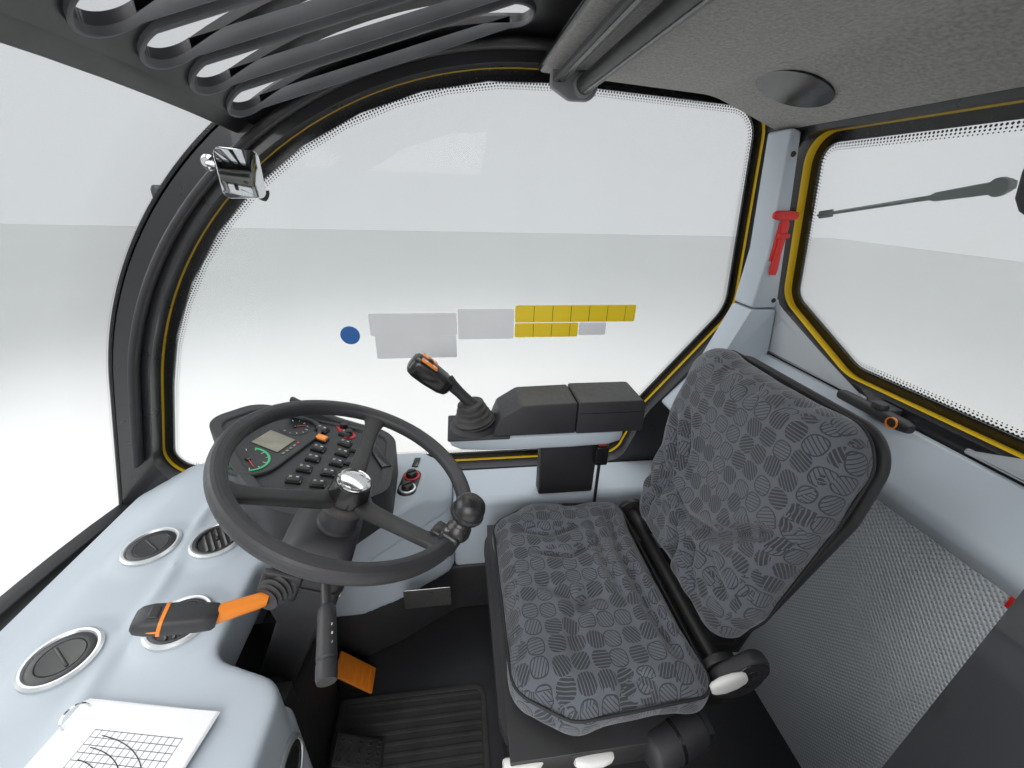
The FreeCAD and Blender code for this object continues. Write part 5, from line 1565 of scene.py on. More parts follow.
# Seat mechanism: bellows, pan, recliner cover with its lever, weight wheel and front levers
def makeSeatParts():
    folds = []
    for i in range(19):
        t = i / 18
        grow = 0.0 if i % 2 == 0 else -0.016
        outline = grown([(-0.182, 0.138, 0.03), (0.182, 0.138, 0.03), (0.182, 0.428, 0.03),
                         (-0.182, 0.428, 0.03)], grow)
        folds.append([Vector((u, v, 0.3005 + 0.169 * t)) for u, v in roundCorners(outline, 5)])
    bellows = modify(loft(folds), "SUBSURF", levels=1, render_levels=1)
    setMaterials(bellows, finish["bellowsRubber"])
    finishPiece(bellows, "suspensionBellows", "cab", ["seat_bellows"], angle=60)

    pan = softened("seat_pan", 0.003, 2)
    setMaterials(pan, finish["seatSteel"])
    skirt = loft([[Vector((u, v, z)) for u, v in roundCorners(grown(
        [(-0.215, 0.096, 0.05), (0.215, 0.096, 0.05), (0.244, 0.20, 0.06), (0.236, 0.43, 0.03),
         (-0.236, 0.43, 0.03), (-0.244, 0.20, 0.06)], g), 6)]
        for z, g in ((0.5005, -0.014), (0.505, -0.004), (0.525, 0.0), (0.544, -0.001), (0.5445, -0.012))])
    setMaterials(smooth(skirt, 40), finish["darkMoulding"])
    levers = []
    for y in (0.128, 0.236):
        x = 0.243 if y > 0.2 else 0.236
        lever = tapered([(Vector((x + 0.004 * math.sin(3.14 * t), y - 0.030 + 0.060 * t, 0.530)),
                          Vector((0.0085 * w, 0, 0)), Vector((0, 0.001, 0.0075 * w)), 0.7)
                         for t, w in ((0, 0.7), (0.06, 0.95), (0.3, 1.1), (0.7, 1.1), (0.94, 1.0),
                                      (1.0, 0.7))], 20)
        stem = roundedBox((x - 0.016, y, 0.522), (0.03, 0.02, 0.006), 0.002, 2)
        levers += [setMaterials(lever, finish["leverWhite"]), setMaterials(stem, finish["seatSteel"])]
    finishPiece(joinAll([pan, skirt] + levers), "seatPanAndLevers", "seat",
                ["seat_pan"], angle=40)

    # recliner cover: a moulding with a pin and a white lever; the weight wheel's case before it
    cover = prism(roundCorners([(0.444, 0.562, 0.03), (0.50, 0.552, 0.042), (0.532, 0.585, 0.042),
                                (0.534, 0.645, 0.03), (0.50, 0.654, 0.02), (0.440, 0.612, 0.035)], 8),
                  "YZ", 0.1805, 0.2055, 0.008, 4)
    cap = turned([(0, 0), (0.013, 0), (0.0125, 0.002), (0.006, 0.0026), (0.0055, 0.001), (0, 0.001)],
                 (0.205, 0.502, 0.618), (1, 0, 0), 32)
    seam = turned([(0.027, -0.001), (0.0285, -0.001), (0.0285, 0.0006), (0.027, 0.0006)],
                  (0.205, 0.502, 0.618), (1, 0, 0), 40)
    lever = tapered([(Vector((0.209, 0.436 + 0.046 * t, 0.604 + 0.02 * t)),
                      Vector((0.0065 * w, 0, 0)), Vector((0, -0.0065 * w, 0.015 * w)), 0.65)
                     for t, w in ((-0.1, 0.55), (0, 0.85), (0.3, 1.1), (0.7, 1.05), (1.0, 0.8),
                                  (1.1, 0.5))], 22)
    drum = turned([(0, -0.052), (0.027, -0.052), (0.031, -0.048), (0.031, 0.040), (0.028, 0.046),
                   (0.021, 0.050), (0, 0.051)], (0.232, 0.372, 0.520), (0.25, -1.0, -0.05), 40)
    groove = turned([(0.0305, -0.003), (0.0318, -0.003), (0.0318, 0.003), (0.0305, 0.003)],
                    (0.232, 0.372, 0.520), (0.25, -1.0, -0.05), 40)
    for part in (cover, drum):
        setMaterials(part, finish["darkMoulding"])
    setMaterials(seam, finish["glossBlack"])
    setMaterials(groove, finish["glossBlack"])
    setMaterials(cap, finish["seatSteel"])
    setMaterials(smooth(lever, 60), finish["leverWhite"])
    finishPiece(joinAll([cover, seam, cap, lever, drum, groove]), "reclinerCoverAndLever", "seat",
                ["recliner_cover"], angle=40)

    buckleStem = tube([(-0.2795, 0.399, 0.497), (-0.2795, 0.399, 0.58), (-0.2800, 0.398, 0.692)],
                      0.0042, 3)
    buckleBody = roundedBox((-0.2800, 0.399, 0.7165), (0.0255, 0.033, 0.056), 0.005, 4)
    button = roundedBox((-0.2800, 0.399, 0.7435), (0.013, 0.022, 0.004), 0.0015, 2)
    setMaterials(buckleStem, finish["seatSteel"])
    setMaterials(buckleBody, finish["glossBlack"])
    setMaterials(button, finish["buttonRed"])
    finishPiece(joinAll([buckleStem, buckleBody, button]), "buckleAndStalk", "seat",
                ["belt_buckle"], angle=40)


makeSeatParts()
print("seat mechanism made")

# Pedals and mat
pedalSettings = {"brake": (-0.126, -0.235, 0.062, 0.09, 0.095, 0.15),
                 "drive": (0.04, -0.198, 0.06, 0.11, 0.06, 0.158)}


def makePedals():
    parts = []
    for key, (x, y, wide, long, high, foot) in pedalSettings.items():
        top = Vector((x, y - long / 2 + 0.012, foot + high))
        low = Vector((x, y + long / 2, foot + 0.006))
        slope = math.atan2(low.z - top.z, low.y - top.y)
        run = (low - top).length
        stand = prism(roundCorners([(y - long / 2 + 0.001, foot, 0.002),
                                    (y - long / 2 + 0.001, foot + high - 0.012, 0.006),
                                    (y + long / 2 - 0.012, foot, 0.002)], 4), "YZ",
                      x - 0.012, x + 0.012, 0.002, 2)
        pad = roundedBox((0, run / 2, -0.004), (wide, run * 0.98, 0.008), 0.003, 3)
        facing = Matrix.Translation(top) @ Matrix.Rotation(slope, 4, "X")
        setMaterials(stand, finish["seatSteel"])
        brake = key == "brake"
        setMaterials(pad, finish["leverOrange" if brake else "padRubber"])
        parts += [stand, placed(pad, facing)]
        if brake:
            for i in range(5):
                rib = roundedBox((0, run * (0.14 + 0.18 * i), 0.001), (wide * 0.86, 0.006, 0.003),
                                 0.0012, 2)
                parts.append(placed(setMaterials(rib, finish["leverOrange"]), facing))
        else:
            knob = turned([(0.0035, 0.0), (0.0062, 0.0), (0.0058, 0.0018), (0.0042, 0.0024),
                           (0.0035, 0.0018)], (0, 0, 0), (0, 0, 1), 16)
            for i in range(3):
                for j in range(5):
                    twin = copied(knob, facing @ Matrix.Translation(
                        ((i - 1) * 0.018, run * (0.12 + 0.19 * j), 0)))
                    parts.append(setMaterials(twin, finish["padRubber"]))
            deselectAll()
            knob.select_set(True)
            bpy.ops.object.delete()
    finishPiece(joinAll(parts), "pedalPads", "cab", ["pedals"], angle=40)


def makeMat():
    outline = [(-0.088, -0.262, 0.010), (0.100, -0.262, 0.010), (0.108, -0.217, 0.010),
               (0.405, -0.217, 0.010), (0.405, 0.092, 0.030), (-0.088, 0.092, 0.030)]
    mat = prism(roundCorners(outline, 5), "XY", 0.1501, 0.1552, 0.0015, 2)
    rim = sheetOf([roundCorners(outline, 5), roundCorners(grown(outline, -0.012), 5)], "XY",
                  0.155, 0.158, 0.001, 2)
    parts = [mat, rim]
    ribs = 22
    for i in range(ribs):
        x = -0.07 + 0.46 * i / (ribs - 1)
        start = -0.245 if x < 0.10 else -0.200
        rib = roundedBox((x, (start + 0.078) / 2, 0.1561), (0.009, 0.078 - start, 0.0026), 0.001, 2)
        parts.append(rib)
    for part in parts:
        setMaterials(part, finish["floorRubber"])
    finishPiece(joinAll(parts), "ribbedMat", "cab", ["floor_mat"], angle=40)


makePedals()
makeMat()
print("pedals and mat made")


# Printed black edges with dots on the panes, and rubber beads round them
toYZ = Matrix(((0, 0, 1, 0), (1, 0, 0, 0), (0, 1, 0, 0), (0, 0, 0, 1)))
toXZ = Matrix(((1, 0, 0, 0), (0, 0, -1, 0), (0, 1, 0, 0), (0, 0, 0, 1)))
openRadius = bend["radius"] - bend["post"]


def screenPoint(radius, reach):
    # along the bent windscreen: below its bend where reach is positive, else round the bend
    if reach <= 0:
        return onBend(radius, bend["rake"] + math.degrees(reach / radius))
    y, z = onBend(radius, bend["rake"])
    turn = math.radians(bend["rake"])
    return y - reach * math.sin(turn), z + reach * math.cos(turn)


windowTop = (0.765, roofZ(openRadius, 0.765), 0.09)
windowBelt = (0.81, 1.03, 0.12)
rightWindow = [(frontY(openRadius, 0.575), 0.575, 0.07), bendCorner(openRadius), windowTop,
               windowBelt, (0.59, 0.74, 0.12), (0.53, 0.575, 0.06)]
quarterWindow = [(0.415, 0.70, 0.05), (0.415, roofZ(openRadius, 0.415), 0.05), windowTop,
                 windowBelt, (0.80, 0.70, 0.06)]
doorway = [(-0.52, 0.15, 0.04), (frontY(openRadius, 0.52), 0.52, 0.12), bendCorner(openRadius),
           (0.33, roofZ(openRadius, 0.33), 0.05), (0.33, 0.15, 0.04)]
fritSettings = {"band": 0.020, "rows": ((0.0235, 0.0022), (0.0287, 0.0017), (0.0333, 0.0012)),
                "pitch": 0.0066, "lap": 0.015}
onDoor = Matrix.Translation((0.512, 0.382, 0)) @ Matrix.Rotation(math.radians(100), 4, "Z") \
    @ Matrix.Translation((-0.512, -0.382, 0))


def fritOn(corners, plane, inner, outer, matrix=Matrix(), band=None, lap=None):
    f = fritSettings
    band = f["band"] if band is None else band
    lap = f["lap"] if lap is None else lap
    low, high = sorted((inner, outer))
    ring = sheetOf([roundCorners(grown(corners, lap), 10), roundCorners(grown(corners, -band), 10)],
                   plane, low - 0.0003, high + 0.0003)
    parts = [placed(ring, matrix)]
    flat = Matrix.Translation(onPlane(plane, 0, 0, inner + math.copysign(0.0004, inner - outer)))
    turnTo = toYZ if plane == "YZ" else toXZ
    for off, radius in f["rows"]:
        line = roundCorners(grown(corners, -off - band + f["band"]), 12)
        parts.append(dotRow(line, f["pitch"], radius, matrix @ flat @ turnTo))
    piece = joinAll(parts)
    return setMaterials(piece, finish["fritBlack"])


def beadOn(corners, plane, level, matrix, reach=0.0175, radius=0.0042):
    points = [Vector(onPlane(plane, u, v, level)) for u, v in roundCorners(grown(corners, reach), 6)]
    bead = tube(points, radius, 3, cyclic=True)
    return setMaterials(placed(bead, matrix), finish["sealRubber"])


rearLean = math.radians(9.435)
onRear = Matrix.Translation((0, 0.9054, 0.960)) @ Matrix.Rotation(rearLean, 4, "X")
rearOpening = [(-0.17, 0.008, 0.10), (0.17, 0.008, 0.10), (0.385, 0.1267, 0.06),
               (0.385, 0.4865, 0.06), (-0.385, 0.4865, 0.06), (-0.385, 0.1267, 0.06)]
doorInset = grown(doorway, -0.028)
doorUpper = [(frontY(openRadius - 0.028, 0.812), 0.812, 0.018), doorInset[2], doorInset[3],
             (doorInset[4][0], 0.812, 0.03)]
doorLower = [doorInset[0], doorInset[1], (frontY(openRadius - 0.028, 0.768), 0.768, 0.03),
             (doorInset[4][0], 0.768, 0.03), doorInset[4]]


def sealScreens():
    # rubber runs along the sides of the bent panes and across their ends
    parts = []
    reach = 1.0232
    for side in (-1, 1):
        x = side * 0.4842
        line = [Vector((x, *screenPoint(reach, 0.395 - 0.13 * k))) for k in range(4)]
        line += [Vector((x, *onBend(reach, a))) for a in spread(164.3, 87.3, 30)]
        parts.append(tube(line, 0.0042, 2))
    for angle in (125.3, 87.3):
        parts.append(tube([Vector((x, *onBend(reach + crown(x), angle)))
                           for x in spread(-0.484, 0.484, 13)], 0.0045, 2))
    parts.append(tube([Vector((x, *screenPoint(reach + crown(x), 0.396)))
                       for x in spread(-0.484, 0.484, 13)], 0.0045, 2))
    finishPiece(setMaterials(joinAll(parts), finish["sealRubber"]), "screenSeals", "cab")


def dressPanes():
    finishPiece(fritOn(rightWindow, "YZ", -0.49, -0.496), "rightWindowFrit", "cab")
    finishPiece(fritOn(quarterWindow, "YZ", 0.49, 0.496), "quarterWindowFrit", "cab")
    finishPiece(beadOn(rightWindow, "YZ", -0.4935, Matrix()), "rightWindowBead", "cab")
    finishPiece(beadOn(quarterWindow, "YZ", 0.4935, Matrix()), "quarterWindowBead", "cab")
    finishPiece(fritOn(rearOpening, "XZ", 0, 0.006, onRear), "rearWindowFrit", "cab")
    finishPiece(beadOn(rearOpening, "XZ", 0.0035, onRear, 0.0215), "rearWindowBead", "cab")
    for name, outline in (("doorUpper", doorUpper), ("doorLower", doorLower)):
        finishPiece(fritOn(outline, "YZ", 0.526, 0.532, onDoor, lap=0.0135), name + "Frit", "door")
        finishPiece(beadOn(outline, "YZ", 0.5295, onDoor, 0.0145, 0.0034), name + "Bead", "door")
    # windscreen: bands down both sides, following the bend
    parts = []
    for side in (-1, 1):
        band = bentStrip([side * x for x in (0.446, 0.46, 0.4835)], 1.0195, 1.0264, 164.3, 39,
                         0.395, 26)
        parts.append(band)
        for off, radius in ((0.4425, 0.0022), (0.4373, 0.0017), (0.4327, 0.0012)):
            reach = 1.0193 + crown(off)
            line = [Vector(screenPoint(reach, 0.39)), Vector(screenPoint(reach, 0.2))]
            line += [Vector(onBend(reach, a)) for a in spread(164.3, 125.5, 40)]
            row = dotRow(line, 0.0066, radius, toYZ, standing=True, closed=False)
            parts.append(placed(row, Matrix.Translation((side * off, 0, 0))))
    finishPiece(setMaterials(joinAll(parts), finish["fritBlack"]), "windscreenFrit", "cab")


def rimSlots():
    # turned-down rims round the slots of the roof guard
    parts = []
    for i in range(8):
        x = (i - 3.5) * 0.103
        corners = [(x - 0.036, -0.33, 0.0355), (x + 0.036, -0.33, 0.0355),
                   (x + 0.036, 0.195, 0.0355), (x - 0.036, 0.195, 0.0355)]
        sections = []
        inner, outer = roundCorners(corners, 12), roundCorners(grown(corners, 0.0055), 12)
        for (u, v), (p, q) in zip(inner, outer):
            def height(a, b, drop):
                reach = 0.988 + crown(a) - drop
                return bend["z"] + math.sqrt(reach ** 2 - (b - bend["y"]) ** 2)
            sections.append([Vector((u, v, height(u, v, 0.018))), Vector((u, v, height(u, v, -0.001))),
                             Vector((p, q, height(p, q, -0.001))),
                             Vector((p, q, height(p, q, 0.0165)))])
        parts.append(loft(sections + [sections[0]], caps=False))
    rims = joinAll(parts)
    modify(rims, "BEVEL", width=0.0015, segments=2, limit_method="ANGLE",
           angle_limit=math.radians(40))
    setMaterials(rims, finish["guardEdge"])
    finishPiece(rims, "guardSlotRims", "cab")


linerSettings = {"level": 1.527, "front": 0.225, "rear": 0.77}


def makeLiner():
    n = linerSettings
    liner = softened("headliner", 0.007, 4)
    setMaterials(liner, finish["linerFelt"])
    lip = tube([(-0.436, 0.228, 1.536), (0, 0.228, 1.536), (0.436, 0.228, 1.536)], 0.0065, 4)
    setMaterials(lip, finish["glossBlack"])
    finishPiece(joinAll([liner, lip]), "headlinerFelt", "cab", ["headliner"])
    # round speaker mouth with its bowl and a small eye
    mouth = turned([(0.042, -0.002), (0.050, -0.004), (0.054, -0.001), (0.054, 0.003), (0.042, 0.003)],
                   (0, 0, 0), (0, 0, -1), 48)
    bowl = turned([(0, 0.002), (0.020, 0.0015), (0.036, -0.0005), (0.0435, -0.002), (0.0435, 0.003),
                   (0, 0.004)], (0, 0, 0), (0, 0, -1), 48)
    eye = turned([(0, -0.006), (0.010, -0.005), (0.016, -0.001), (0.017, 0.002), (0, 0.003)],
                 (0.008, 0, 0), (0, 0, -1), 32)
    for part in (mouth, bowl, eye):
        setMaterials(part, finish["glossBlack"])
    place = Matrix.Translation((-0.256, 0.650, 1.4896)) @ Matrix.Rotation(math.radians(-19), 4, "X") \
        @ Matrix.Scale(1.2, 4)
    finishPiece(joinAll([placed(part, place) for part in (mouth, bowl, eye)]), "linerSpeaker", "cab")


def makeBlind():
    barrel = turned([(0, 0), (0.0148, 0), (0.0155, 0.004), (0.0155, 0.748), (0.0148, 0.752),
                     (0, 0.752)], (-0.376, 0.30, 1.498), (1, 0, 0), 40)
    seam = roundedBox((0, 0.2965, 1.4826), (0.744, 0.005, 0.0012), 0.0005, 1)
    rail = roundedBox((0, 0.252, 1.5055), (0.75, 0.022, 0.009), 0.002, 3)
    slot = roundedBox((0, 0.252, 1.5003), (0.74, 0.007, 0.0016), 0.0005, 1)
    parts = [setMaterials(barrel, finish["seatSteel"]), setMaterials(seam, finish["glossBlack"]),
             setMaterials(rail, finish["darkMoulding"]), setMaterials(slot, finish["glossBlack"])]
    for side in (-1, 1):
        x = side * 0.387
        bracket = prism(roundCorners([(0.238, 1.5215, 0.004), (0.238, 1.494, 0.012),
                                      (0.276, 1.474, 0.022), (0.326, 1.474, 0.022),
                                      (0.334, 1.5215, 0.004)], 6), "YZ", x - 0.0088, x + 0.0088,
                        0.003, 3)
        socket = turned([(0, -0.002), (0.019, -0.002), (0.0205, 0.002), (0.0205, 0.012),
                         (0.0175, 0.016), (0, 0.016)], (x - side * 0.006, 0.30, 1.498),
                        (-side, 0, 0), 36)
        parts += [setMaterials(bracket, finish["blindBracket"]),
                  setMaterials(socket, finish["blindBracket"])]
    finishPiece(joinAll(parts), "rollerBlindUnit", "cab", ["roller_blind"])


def makeMirror():
    centre = Vector((-0.33, *onBend(openRadius - 0.028, 127.4)))
    facing = Matrix.Translation(centre) @ Matrix.Rotation(math.radians(-28), 4, "Z")
    rows = []
    outline = [(-0.052, -0.048, 0.022), (0.052, -0.048, 0.022), (0.052, 0.048, 0.022),
               (-0.052, 0.048, 0.022)]
    for level, shrink in ((-0.014, 0.026), (-0.012, 0.016), (-0.006, 0.006), (0.002, 0.001),
                          (0.009, 0.0), (0.0135, 0.0015), (0.0145, 0.004), (0.0125, 0.0082)):
        rows.append([Vector((u, level, v)) for u, v in roundCorners(grown(outline, -shrink), 6)])
    case = loft(rows)
    glass = prism(roundCorners(grown(outline, -0.0085), 6), "XZ", 0.0122, 0.0130, 0.0003, 1)
    joint = turned([(0, -0.010), (0.006, -0.009), (0.0095, -0.004), (0.0095, 0.004), (0.006, 0.009),
                    (0, 0.010)], centre + Vector((-0.031, 0.004, 0.008)), (-1, 0, 0.4), 28)
    foot = Vector((-0.4065, *onBend(openRadius + 0.037, 130.4)))
    stem = tube([foot, foot + Vector((0.025, 0.008, -0.004)), centre + Vector((-0.026, 0.006, 0.010))],
                0.0058, 4)
    clamp = turned([(0, 0), (0.014, 0), (0.0145, 0.003), (0.0115, 0.007), (0.0085, 0.010),
                    (0.0075, 0.014), (0, 0.014)], foot + Vector((-0.0052, 0, 0)), (1, 0, 0), 36)
    setMaterials(smooth(case, 50), finish["darkMoulding"])
    setMaterials(glass, finish["mirrorSilver"])
    setMaterials(joint, finish["darkMoulding"])
    setMaterials(stem, finish["brightChrome"])
    setMaterials(clamp, finish["brightChrome"])
    finishPiece(joinAll([placed(case, facing), placed(glass, facing), joint, stem, clamp]),
                "interiorMirror", "cab", ["cab_mirror"], angle=45)


def makeHammer():
    # emergency hammer in its holder on the corner trim
    shaft = tapered([(Vector((-0.3625, 0.792 + 0.006 * t, 1.27 - 0.122 * t)),
                      Vector((0.0052 * w, 0, 0)), Vector((0, 0.0085 * w, 0)), 0.6)
                     for t, w in ((0, 0.9), (0.2, 0.75), (0.45, 0.8), (0.7, 1.0), (0.9, 1.1),
                                  (1.0, 0.85))], 18)
    head = tapered([(Vector((-0.3615, 0.758 + 0.062 * t, 1.279)), Vector((0.0068 * w, 0, 0)),
                     Vector((0, 0, 0.0105 * w)), 0.7)
                    for t, w in ((0, 0.55), (0.08, 0.85), (0.3, 0.95), (0.7, 0.95), (0.92, 0.8),
                                 (1.0, 0.35))], 18)
    holder = roundedBox((-0.3665, 0.795, 1.222), (0.006, 0.026, 0.085), 0.0025, 3)
    band = roundedBox((-0.3612, 0.7955, 1.236), (0.0125, 0.028, 0.010), 0.0025, 2)
    for part in (shaft, head, holder, band):
        setMaterials(part, finish["buttonRed"])
    parts = [smooth(shaft, 50), smooth(head, 50), holder, band]
    for y, z in ((0.770, 1.40), (0.826, 1.085)):
        screw = turned([(0, 0), (0.006, 0), (0.0055, 0.0016), (0.002, 0.0018), (0.0016, 0.0008),
                        (0, 0.0008)], (-0.3682, y, z), (1, 0, 0), 24)
        parts.append(setMaterials(screw, finish["seatSteel"]))
    finishPiece(joinAll(parts), "escapeHammer", "cab")


def makePlates():
    # blank plates on the right window, the lower dash and the near post
    parts = []
    for y0, y1, z0, z1, material in ((-0.172, 0.047, 0.967, 1.026, "plateWhite"),
                                     (-0.162, 0.045, 0.905, 0.9668, "plateWhite"),
                                     (0.050, 0.196, 0.955, 1.036, "plateWhite"),
                                     (0.199, 0.528, 0.999, 1.045, "plateYellow"),
                                     (0.199, 0.372, 0.958, 0.997, "plateYellow"),
                                     (0.374, 0.450, 0.962, 0.997, "plateWhite")):
        plate = prism(roundCorners([(y0, z0, 0.004), (y1, z0, 0.004), (y1, z1, 0.004),
                                    (y0, z1, 0.004)], 3), "YZ", -0.4902, -0.4896)
        parts.append(setMaterials(plate, finish[material]))
        if material == "plateYellow":
            for k in range(int((y1 - y0) / 0.05)):
                line = roundedBox((-0.48955, y0 + 0.05 * (k + 1), (z0 + z1) / 2),
                                  (0.0004, 0.0012, z1 - z0 - 0.003), 0.0001, 1)
                parts.append(setMaterials(line, finish["glossBlack"]))
    data = prism(roundCorners([(-0.104, 0.345, 0.003), (0.012, 0.345, 0.003), (0.012, 0.41, 0.003),
                               (-0.104, 0.41, 0.003)], 3), "YZ", -0.1797, -0.1787, 0.0003, 1)
    parts.append(setMaterials(data, finish["plainSteel"]))
    tag = roundedBox((0.262, 0.7985, 0.813), (0.022, 0.004, 0.020), 0.0015, 2)
    parts.append(setMaterials(tag, finish["buttonRed"]))
    spot = turned([(0, 0), (0.024, 0), (0.0238, 0.0006), (0, 0.0006)], (-0.4902, -0.222, 0.970),
                  (1, 0, 0), 40)
    parts.append(setMaterials(spot, finish["plateBlue"]))
    finishPiece(joinAll(parts), "blankWindowPlates", "cab")


def makeBooklet():
    # ring-bound sheets lying on the dash, printed with a plain grid and curves
    place = Matrix.Translation((0.227, -0.395, 0.6535)) @ Matrix.Rotation(math.radians(-11.5), 4, "Z")
    sheets = []
    for k in range(3):
        leaf = roundedBox((0.0012 * k, -0.001 * k, 0.0008 * k), (0.128, 0.191, 0.0006), 0.0002, 1,
                          (0, 0, 0.6 * k))
        sheets.append(setMaterials(leaf, finish["paper"]))
    lines = []
    for i in range(9):
        lines.append(roundedBox((-0.030 + 0.008 * i, 0.01, 0.0021), (0.0006, 0.12, 0.0002), 0.00008, 1))
    for i in range(14):
        lines.append(roundedBox((0.002, -0.05 + 0.0092 * i, 0.0021), (0.066, 0.0006, 0.0002),
                                0.00008, 1))
    for k in range(4):
        arc = [Vector((0.036 - (0.022 + 0.013 * k) * math.cos(t), -0.046 + (0.03 + 0.026 * k)
                       * math.sin(t), 0.0022)) for t in spread(0.1, 1.5, 10)]
        lines.append(tube(arc, 0.0005, 1))
    for line in lines:
        setMaterials(line, finish["glossBlack"])
    ring = turned([(0.0150, -0.0014), (0.0164, 0.0), (0.0150, 0.0014), (0.0136, 0.0)],
                  (-0.040, -0.088, 0.004), (0.25, 0.9, 0.25), 40)
    setMaterials(ring, finish["brightChrome"])
    finishPiece(joinAll([placed(part, place) for part in sheets + lines + [ring]]),
                "gridSheets", "cab", angle=0)


def makeKeys():
    # two round switches on the dash beside the pod, one with a red collar
    parts = []
    base = prism(roundCorners([(-0.352, -0.098, 0.022), (-0.252, -0.112, 0.022),
                               (-0.250, -0.066, 0.022), (-0.350, -0.052, 0.022)], 8), "XY",
                 0.643, 0.6475, 0.002, 3)
    parts.append(setMaterials(base, finish["glossBlack"]))
    for x, y, collar in ((-0.325, -0.078, "buttonRed"), (-0.277, -0.084, "silverRing")):
        ring = turned([(0.015, 0), (0.0205, 0), (0.0200, 0.003), (0.016, 0.004), (0.015, 0.003)],
                      (x, y, 0.6465), (0, 0, 1), 40)
        knob = turned([(0, 0), (0.0142, 0), (0.0138, 0.012), (0.0120, 0.0145), (0.004, 0.0150),
                       (0, 0.0150)], (x, y, 0.6465), (0, 0, 1), 36)
        fin = roundedBox((x, y, 0.6625), (0.004, 0.022, 0.004), 0.0012, 2, (0, 0, 25))
        parts += [setMaterials(ring, finish[collar]), setMaterials(knob, finish["knobBlack"]),
                  setMaterials(fin, finish["knobBlack"])]
    slot = roundedBox((-0.385, -0.072, 0.6455), (0.040, 0.016, 0.004), 0.0015, 2, (0, 0, -8))
    parts.append(setMaterials(slot, finish["glossBlack"]))
    finishPiece(joinAll(parts), "roundSwitches", "cab")


def makeCornerFills():
    # pale covers on the rear wall's inner face, in the lower corners beside the glass
    parts = []
    slope = math.tan(rearLean)
    for side in (-1, 1):
        outline = [(0.438, 0.946, 0.004), (0.438, 1.085, 0.006), (0.372, 1.085, 0.02),
                   (0.366, 1.072, 0.05), (0.165, 0.9565, 0.09), (0.09, 0.9555, 0.004),
                   (0.09, 0.946, 0.003)]
        rows = []
        for off, shrink in ((0.0, 0.0), (0.003, 0.0), (0.0052, 0.0015), (0.006, 0.005)):
            rows.append([Vector((side * u, 0.8627 - max(0, v - 0.96) * slope - off, v))
                         for u, v in roundCorners(grown(outline, -shrink), 6)])
        parts.append(loft(rows))
    finishPiece(setMaterials(joinAll(parts), finish["paleMoulding"]), "rearCornerCovers", "cab",
                angle=40)


def makeRearParts():
    # rear window catch with its grip, and the wiper motor's case
    y = 0.905 - 0.042
    grip = tapered([(Vector((-0.112 + 0.145 * t, y - 0.041, 0.956)), Vector((0, 0.0105 * w, 0)),
                     Vector((0, 0, 0.0095 * w)), 0.6)
                    for t, w in ((0, 0.75), (0.04, 1), (0.55, 1.0), (0.6, 1.12), (0.9, 1.12),
                                 (1.0, 0.8))], 24)
    foot = roundedBox((-0.04, y - 0.0165, 0.956), (0.044, 0.031, 0.018), 0.003, 3)
    pivot = turned([(0, 0), (0.013, 0), (0.0135, 0.004), (0.011, 0.010), (0, 0.011)],
                   (-0.03, y - 0.041, 0.9655), (0, 0, 1), 32)
    ring = turned([(0.0085, -0.002), (0.0105, -0.002), (0.0105, 0.002), (0.0085, 0.002)],
                  (0.008, y - 0.0525, 0.956), (0, 1, 0), 28)
    for part in (grip, foot, pivot):
        setMaterials(part, finish["darkMoulding"])
    setMaterials(ring, finish["leverOrange"])
    finishPiece(joinAll([smooth(grip, 50), foot, pivot, ring]), "rearCatch", "cab",
                ["rear_window_handle"])
    low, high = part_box("wiper_motor")
    low, high = Vector(low), Vector(high)
    middle, size = (low + high) / 2, high - low
    case = tapered([(Vector((middle.x, middle.y, low.z + size.z * t)),
                     Vector((size.x / 2 * w, 0, 0)), Vector((0, size.y / 2 * (0.6 + 0.4 * w), 0)), 0.35)
                    for t, w in ((0, 0.55), (0.04, 0.7), (0.16, 0.88), (0.4, 0.98), (0.8, 1.0),
                                 (0.95, 0.96), (1.0, 0.86))], 32)
    seam = roundedBox((middle.x, middle.y - 0.0005, low.z + size.z * 0.55),
                      (size.x * 0.985, size.y * 0.985, 0.0016), 0.0006, 1)
    badge = turned([(0, 0), (0.012, 0), (0.0115, 0.0015), (0, 0.002)],
                   (middle.x - 0.02, low.y + 0.0015, middle.z + 0.01), (0, -1, 0), 28)
    for part in (case, seam, badge):
        setMaterials(part, finish["darkMoulding"])
    finishPiece(joinAll([smooth(case, 50), seam, badge]), "wiperMotorCase", "cab",
                ["wiper_motor"])


sealScreens()
dressPanes()
rimSlots()
makeLiner()
makeBlind()
makeMirror()
makeHammer()
makePlates()
makeBooklet()
makeKeys()
makeRearParts()
makeCornerFills()
print("panes, liner and fittings made")


# Roof ribs, lamps, wipers and the doorway seal
outsideSettings = {"ribs": (-0.33, -0.11, 0.11, 0.33), "ribLength": 0.47, "ribWidth": 0.05,
                   "coverRadius": 1.042}


